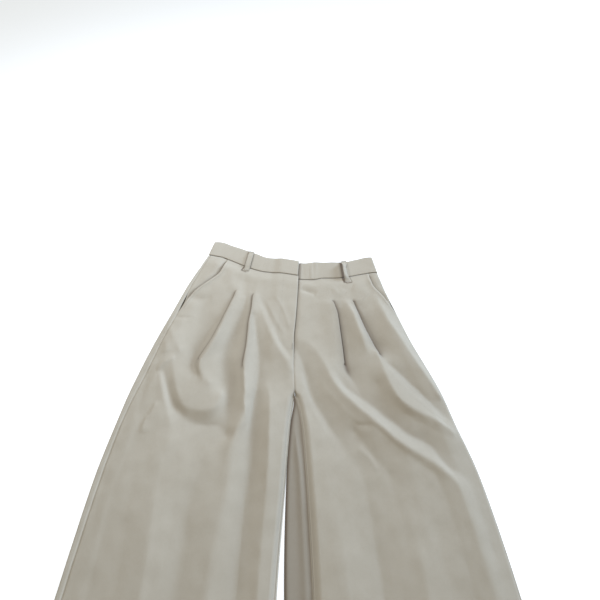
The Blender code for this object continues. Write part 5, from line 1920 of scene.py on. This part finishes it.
def stitch_tree() -> Tree:
    """A geometry node tree that sews a row of stitches along a line."""
    tree = bpy.data.node_groups.new("stitch_row", "GeometryNodeTree")
    sockets = {
        "Line": "Geometry", "Pitch": "Float", "Length": "Float", "Thread": "Float",
        "Turn": "Float", "Unevenness": "Float", "Seed": "Int", "Material": "Material",
    }
    for name, kind in sockets.items():
        tree.interface.new_socket(name, in_out="INPUT", socket_type=f"NodeSocket{kind}")
    tree.interface.new_socket("Stitches", in_out="OUTPUT", socket_type="NodeSocketGeometry")
    nodes = Nodes(tree)
    given = nodes.add("NodeGroupInput").outputs

    def made(kind: str, inputs: Given | None = None, **settings: object) -> Socket:
        """The first result of a new node."""
        return nodes.add(kind, inputs, **settings).outputs[0]

    line = made("GeometryNodeMeshToCurve", {"Mesh": given["Line"]})
    spaced_out = {"Curve": line, "Length": given["Pitch"]}
    even = made("GeometryNodeResampleCurve", spaced_out, mode="LENGTH")
    up = made("GeometryNodeInputNamedAttribute", {"Name": "up"}, data_type="FLOAT_VECTOR")
    align = "FunctionNodeAlignRotationToVector"
    along = made(align, {"Vector": made("GeometryNodeInputTangent")}, axis="X")
    level = made(align, {"Rotation": along, "Vector": up}, axis="Z", pivot_axis="X")
    sway = nodes.add(
        "FunctionNodeRandomValue", {2: -1.0, 3: 1.0, "Seed": given["Seed"]}, data_type="FLOAT"
    )
    sway = nodes.math("MULTIPLY", sway.outputs[1], given["Unevenness"])
    turn = made("ShaderNodeCombineXYZ", {2: nodes.math("ADD", given["Turn"], sway)})
    turn = made("FunctionNodeEulerToRotation", {0: turn})
    turned = made("FunctionNodeRotateRotation", {0: level, 1: turn}, rotation_space="LOCAL")
    half = nodes.math("MULTIPLY", given["Length"], 0.5)
    thread = nodes.math("MULTIPLY", given["Thread"], 0.5)
    ball = made("GeometryNodeMeshUVSphere", {"Segments": 6, "Rings": 4, "Radius": 1.0})
    size = made("ShaderNodeCombineXYZ", {0: thread, 1: thread, 2: half})
    lying = (0.0, math.pi / 2, 0.0)
    stitch = made("GeometryNodeTransform", {"Geometry": ball, "Rotation": lying, "Scale": size})
    stitch = made("GeometryNodeSetShadeSmooth", {"Geometry": stitch})
    row = made(
        "GeometryNodeInstanceOnPoints", {"Points": even, "Instance": stitch, "Rotation": turned}
    )
    real = made("GeometryNodeRealizeInstances", {"Geometry": row})
    finish = made("GeometryNodeSetMaterial", {"Geometry": real, "Material": given["Material"]})
    nodes.add("NodeGroupOutput", {"Stitches": finish})
    return tree


@dataclass(frozen=True)
class Stitching:
    """How a row is sewn: the stitches' spacing, length and thread, and which way they lie."""

    pitch: float = 0.0031
    length: float = 0.0025
    thread: float = 0.00042
    turn: Turn = Turn.ALONG
    unevenness: float = 0.05
    seed: int = 5

    def sew(self, name: str, lines: Sequence[Path], tree: Tree, thread: Material) -> Piece:
        """One piece with the stitches of several lines.

        Args:
            name: the piece's name.
            lines: the lines that it follows.
            tree: the stitch tree.
            thread: the thread's material.

        Returns:
            The piece.
        """
        points, ways = (np.concatenate(parts) for parts in zip(*lines))
        starts = np.cumsum([0] + [len(part) for part, _ in lines])
        ends = set(starts[1:] - 1)
        edges = [(i, i + 1) for i in range(len(points)) if i not in ends]
        mesh = bpy.data.meshes.new(f"{name}_line")
        mesh.from_pydata(points.tolist(), edges, [])
        up = mesh.attributes.new("up", "FLOAT_VECTOR", "POINT")
        up.data.foreach_set("vector", ways.astype(np.float32).ravel())
        line = linked(f"{name}_line", mesh)
        rule = line.modifiers.new("Stitches", "NODES")
        rule.node_group = tree
        values = {
            "Pitch": self.pitch, "Length": self.length, "Thread": self.thread,
            "Turn": self.turn.value, "Unevenness": self.unevenness, "Seed": self.seed,
            "Material": thread,
        }
        for item in tree.interface.items_tree:
            if item.name in values:
                rule[item.identifier] = values[item.name]
        evaluated = line.evaluated_get(bpy.context.evaluated_depsgraph_get())
        sewn = bpy.data.meshes.new_from_object(evaluated)
        sewn.name = name
        bpy.data.objects.remove(line)
        bpy.data.meshes.remove(mesh)
        return linked(name, sewn)


SEAM = Stitching()
LOOP_EDGE = Stitching(pitch=0.0026, length=0.0021, thread=0.00036)
TACK = Stitching(pitch=0.0006, length=0.0020, thread=0.00042, turn=Turn.ACROSS, unevenness=0.12)
TEETH = Stitching(pitch=0.0012, length=0.0030, thread=0.00046, turn=Turn.ACROSS, unevenness=0.0)


@dataclass(frozen=True)
class Woven:
    """A woven finish: its darker and lighter colours, the colour of the shade painted on it, weave
    and sheen.
    """

    name: str
    dark: Point
    light: Point
    # Colour of the shade painted into the cloth where its attribute is below zero.
    painted_shade: Point = (0.126, 0.091, 0.062)
    ribs: float = 1500.0
    roughness: float = 0.78
    sheen: float = 0.22
    weave_depth: float = 0.00010
    crease_depth: float = 0.00030

    def material(self, twill: Tree, unevenness: Tree) -> Material:
        """The finish as a material.

        Args:
            twill: the weave group.
            unevenness: the group for slow changes.

        Returns:
            The material.
        """
        nodes = Surface(self.name)
        cloth = nodes.add("ShaderNodeUVMap", uv_map="cloth").outputs["UV"]
        wear_and_shade = nodes.add("ShaderNodeAttribute", attribute_name="wear_and_shade").outputs["Fac"]
        weave = nodes.group(twill, {"Cloth": cloth, "Ribs per Metre": self.ribs})
        slow = nodes.group(unevenness, {"Place": nodes.place, "Wear and Shade": wear_and_shade})
        tone = nodes.blend((slow["Tone"], 0.72), (weave["Tone"], 0.28))
        colour = nodes.mix(tone, self.dark, self.light)
        # The attribute lightens the tone where the cloth is rubbed and darkens it where shade is
        # painted; below zero it also mixes the colour towards the painted shade colour.
        painted_shade_strength = nodes.spread(wear_and_shade, from_min=0.0, from_max=-1.0)
        creases = nodes.bump(slow["Height"], 1.0, self.crease_depth)
        return nodes.finished({
            "Base Color": nodes.mix(painted_shade_strength, colour, self.painted_shade),
            "Roughness": nodes.around(tone, self.roughness, 0.05, -0.07),
            "Normal": nodes.bump(weave["Height"], 0.7, self.weave_depth, Normal=creases),
            "Sheen Weight": self.sheen,
            "Sheen Roughness": 0.45,
            "Sheen Tint": (0.93, 0.97, 1.0, 1.0),
            "Specular IOR Level": 0.35,
        })


@dataclass(frozen=True)
class Thread:
    """Spun sewing thread."""

    name: str
    dark: Point = (0.34, 0.31, 0.25)
    light: Point = (0.46, 0.43, 0.37)
    roughness: float = 0.62
    twist: float = 2600.0

    def material(self) -> Material:
        """The finish as a material, with the thread's twist as fine slanting bands."""
        nodes = Surface(self.name)
        split = nodes.add("ShaderNodeSeparateXYZ", {0: nodes.place})
        x, y, z = split.outputs
        slant = nodes.math("ADD", x, nodes.math("ADD", y, z))
        plies = nodes.math("SINE", nodes.math("MULTIPLY", slant, self.twist * math.tau))
        tone = nodes.spread(plies, from_min=-1.0, from_max=1.0)
        return nodes.finished({
            "Base Color": nodes.mix(tone, self.dark, self.light),
            "Normal": nodes.bump(tone, 0.5, 0.00006),
            "Roughness": self.roughness,
            "Specular IOR Level": 0.3,
        })


@dataclass(frozen=True)
class Metal:
    """A brushed metal finish."""

    name: str
    colour: Point = (0.58, 0.58, 0.56)
    roughness: float = 0.34

    def material(self) -> Material:
        """The finish as a material."""
        nodes = Surface(self.name)
        stretch = {"Vector": nodes.place, "Scale": (300.0, 6000.0, 6000.0)}
        brushed = nodes.noise(nodes.add("ShaderNodeMapping", stretch).outputs[0], 1.0, 3.0)
        return nodes.finished({
            "Base Color": nodes.mix(brushed, tuple(0.85 * c for c in self.colour), self.colour),
            "Roughness": nodes.around(brushed, self.roughness, -0.08, 0.10),
            "Normal": nodes.bump(brushed, 0.3, 0.00002),
            "Metallic": 1.0,
        })


@dataclass(frozen=True)
class Finishes:
    """The garment's materials, and the rule by which its stitches are laid."""

    cloth: Material
    tape: Material
    thread: Material
    steel: Material
    stitch_rule: Tree

    @classmethod
    def mixed(cls) -> "Finishes":
        """The finishes, with their colours."""
        groups = twill_group(), unevenness_group()
        cloth = Woven("trouser_twill", (0.392, 0.346, 0.267), (0.496, 0.450, 0.362))
        tape = Woven("zip_tape", (0.33, 0.31, 0.26), (0.42, 0.39, 0.33), ribs=2200.0)
        return cls(
            cloth=cloth.material(*groups),
            tape=tape.material(*groups),
            thread=Thread("sewing_thread").material(),
            steel=Metal("hook_steel").material(),
            stitch_rule=stitch_tree(),
        )

    def sewn(self, name: str, lines: Sequence[Path], sewing: Stitching = SEAM) -> Piece:
        """A dressed piece with the stitches of several lines."""
        piece = sewing.sew(name, lines, self.stitch_rule, self.thread)
        dress(piece, self.thread, "cloth")
        return piece


@dataclass(frozen=True)
class Studio:
    """The floor, the lights and the camera."""

    eye: Point = (0.0, 0.0, 0.68)
    pitch: float = 51.6
    lens: float = 21.6
    shift: tuple[float, float] = (0.0275, -0.101)
    floor_size: float = 14.0

    def floor(self) -> None:
        """A plain pale floor."""
        half = self.floor_size / 2
        corners = [(x * half, y * half, 0.0) for x, y in ((-1, -1), (1, -1), (1, 1), (-1, 1))]
        mesh = bpy.data.meshes.new("floor")
        mesh.from_pydata(corners, [], [(0, 1, 2, 3)])
        nodes = Surface("pale_floor")
        grain = nodes.noise(nodes.place, 3.0, 2.0)
        mesh.materials.append(nodes.finished({
            "Base Color": nodes.mix(grain, (0.93, 0.915, 0.89), (0.95, 0.935, 0.91)),
            "Roughness": 0.9,
            "Specular IOR Level": 0.1,
            "Emission Color": (0.86, 0.93, 1.0, 1.0),
            "Emission Strength": 0.45,
        }))
        linked("floor", mesh)

    def light(
        self, name: str, place: Point, aim: Point, size: float, power: float, colour: Point
    ) -> None:
        """A soft lamp.

        Args:
            name: the lamp's name.
            place: where it hangs.
            aim: what it points at.
            size: its width.
            power: in watts.
            colour: its colour.
        """
        data = bpy.data.lights.new(name, "AREA")
        data.shape, data.size = "DISK", size
        data.energy, data.color = power, colour
        lamp = linked(name, data)
        lamp.location = place
        lamp.rotation_mode = "QUATERNION"
        lamp.rotation_quaternion = (Vector(aim) - Vector(place)).to_track_quat("-Z", "Y")

    def lights(self) -> None:
        """A warm lamp overhead, a cool window to the far right, and a pale room."""
        lamps = {
            "ceiling_lamp": ((-0.28, 0.86, 1.15), (0.0, 0.30, 0.0), 0.40, 13.4, (0.90, 1.0, 1.18)),
            "window": ((7.15, 2.60, 2.74), (0.0, 0.25, 0.0), 2.7, 498.0, (0.775, 1.0, 1.34)),
        }
        for name, settings in lamps.items():
            self.light(name, *settings)
        world = bpy.data.worlds.new("room")
        world.use_nodes = True
        nodes = Nodes(world.node_tree)
        glows = (
            {"Color": (1.0, 0.83, 0.52, 1.0), "Strength": 0.30},
            {"Color": (0.80, 0.80, 0.79, 1.0), "Strength": 0.85},
        )
        fill, wall = (nodes.add("ShaderNodeBackground", glow).outputs[0] for glow in glows)
        seen = nodes.add("ShaderNodeLightPath").outputs["Is Camera Ray"]
        both = nodes.add("ShaderNodeMixShader", {0: seen, 1: fill, 2: wall})
        nodes.add("ShaderNodeOutputWorld", {"Surface": both.outputs[0]})
        bpy.context.scene.world = world

    def camera(self) -> None:
        """The camera, looking down at the garment from over its legs."""
        data = bpy.data.cameras.new("camera")
        data.lens = self.lens
        data.sensor_width = 36.0
        data.shift_x, data.shift_y = self.shift
        data.clip_start = 0.01
        camera = linked("camera", data)
        camera.location = self.eye
        camera.rotation_euler = (math.radians(90.0 - self.pitch), 0.0, 0.0)
        bpy.context.scene.camera = camera


def dress(piece: Piece, material: Material, slot: str, *nodes: str) -> None:
    """Gives a piece its material, body and the solids it stands for."""
    piece.data.materials.clear()
    piece.data.materials.append(material)
    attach(piece, "root")
    if nodes:
        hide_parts(*nodes)


def main() -> None:
    """Builds every piece in order."""
    logging.basicConfig(level=logging.INFO, format="%(message)s")
    studio = Studio()
    studio.floor()
    studio.lights()
    studio.camera()
    bpy.context.scene.view_settings.view_transform = "Standard"
    finishes = Finishes.mixed()
    right = Leg(
        "right", -1, RIGHT_SECTIONS, RIGHT_PLEATS, RIGHT_MOUTH, RIGHT_BAND, RIGHT_WAIST,
        RIGHT_CREASES, LEFT_CREASES,
    )
    left = Leg(
        "left", 1, LEFT_SECTIONS, LEFT_PLEATS, LEFT_MOUTH, LEFT_BAND, LEFT_WAIST,
        LEFT_CREASES, RIGHT_CREASES,
        over_width=0.030, painted_shade_strength=1.05, painted_shade_width=0.0050, painted_shade_reach=0.020,
        loop_share=0.395, loop_below=0.016, loop_shadow=0.0062,
    )
    BackPanel(right).make(finishes)
    BackPanel(left, gap_shade=0.95, gap_creases=GAP_CREASES).make(finishes)
    for leg in (right, left):
        PocketFacing(leg).make(finishes)
        FrontPanel(leg).make(finishes)
    Waistband(right, left).make(finishes)
    front_right = BeltLoop(right, right.loop_share, stand=0.0020, below=right.loop_below)
    front_left = BeltLoop(
        left, left.loop_share, stand=0.0054, lean=-0.002, twist=-0.70, below=left.loop_below
    )
    BeltLoops((
        ("front_right", front_right, False),
        ("front_left", front_left, False),
        ("back_right", BeltLoop(right, 0.42), True),
        ("back_left", BeltLoop(left, 0.45), True),
        ("back_centre", BeltLoop(right, 0.985), True),
    )).make(finishes)
    Zip(left).make(finishes)
    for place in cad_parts["waist_hook"].material_slots:
        place.material = finishes.steel


if __name__ == "__main__":
    main()
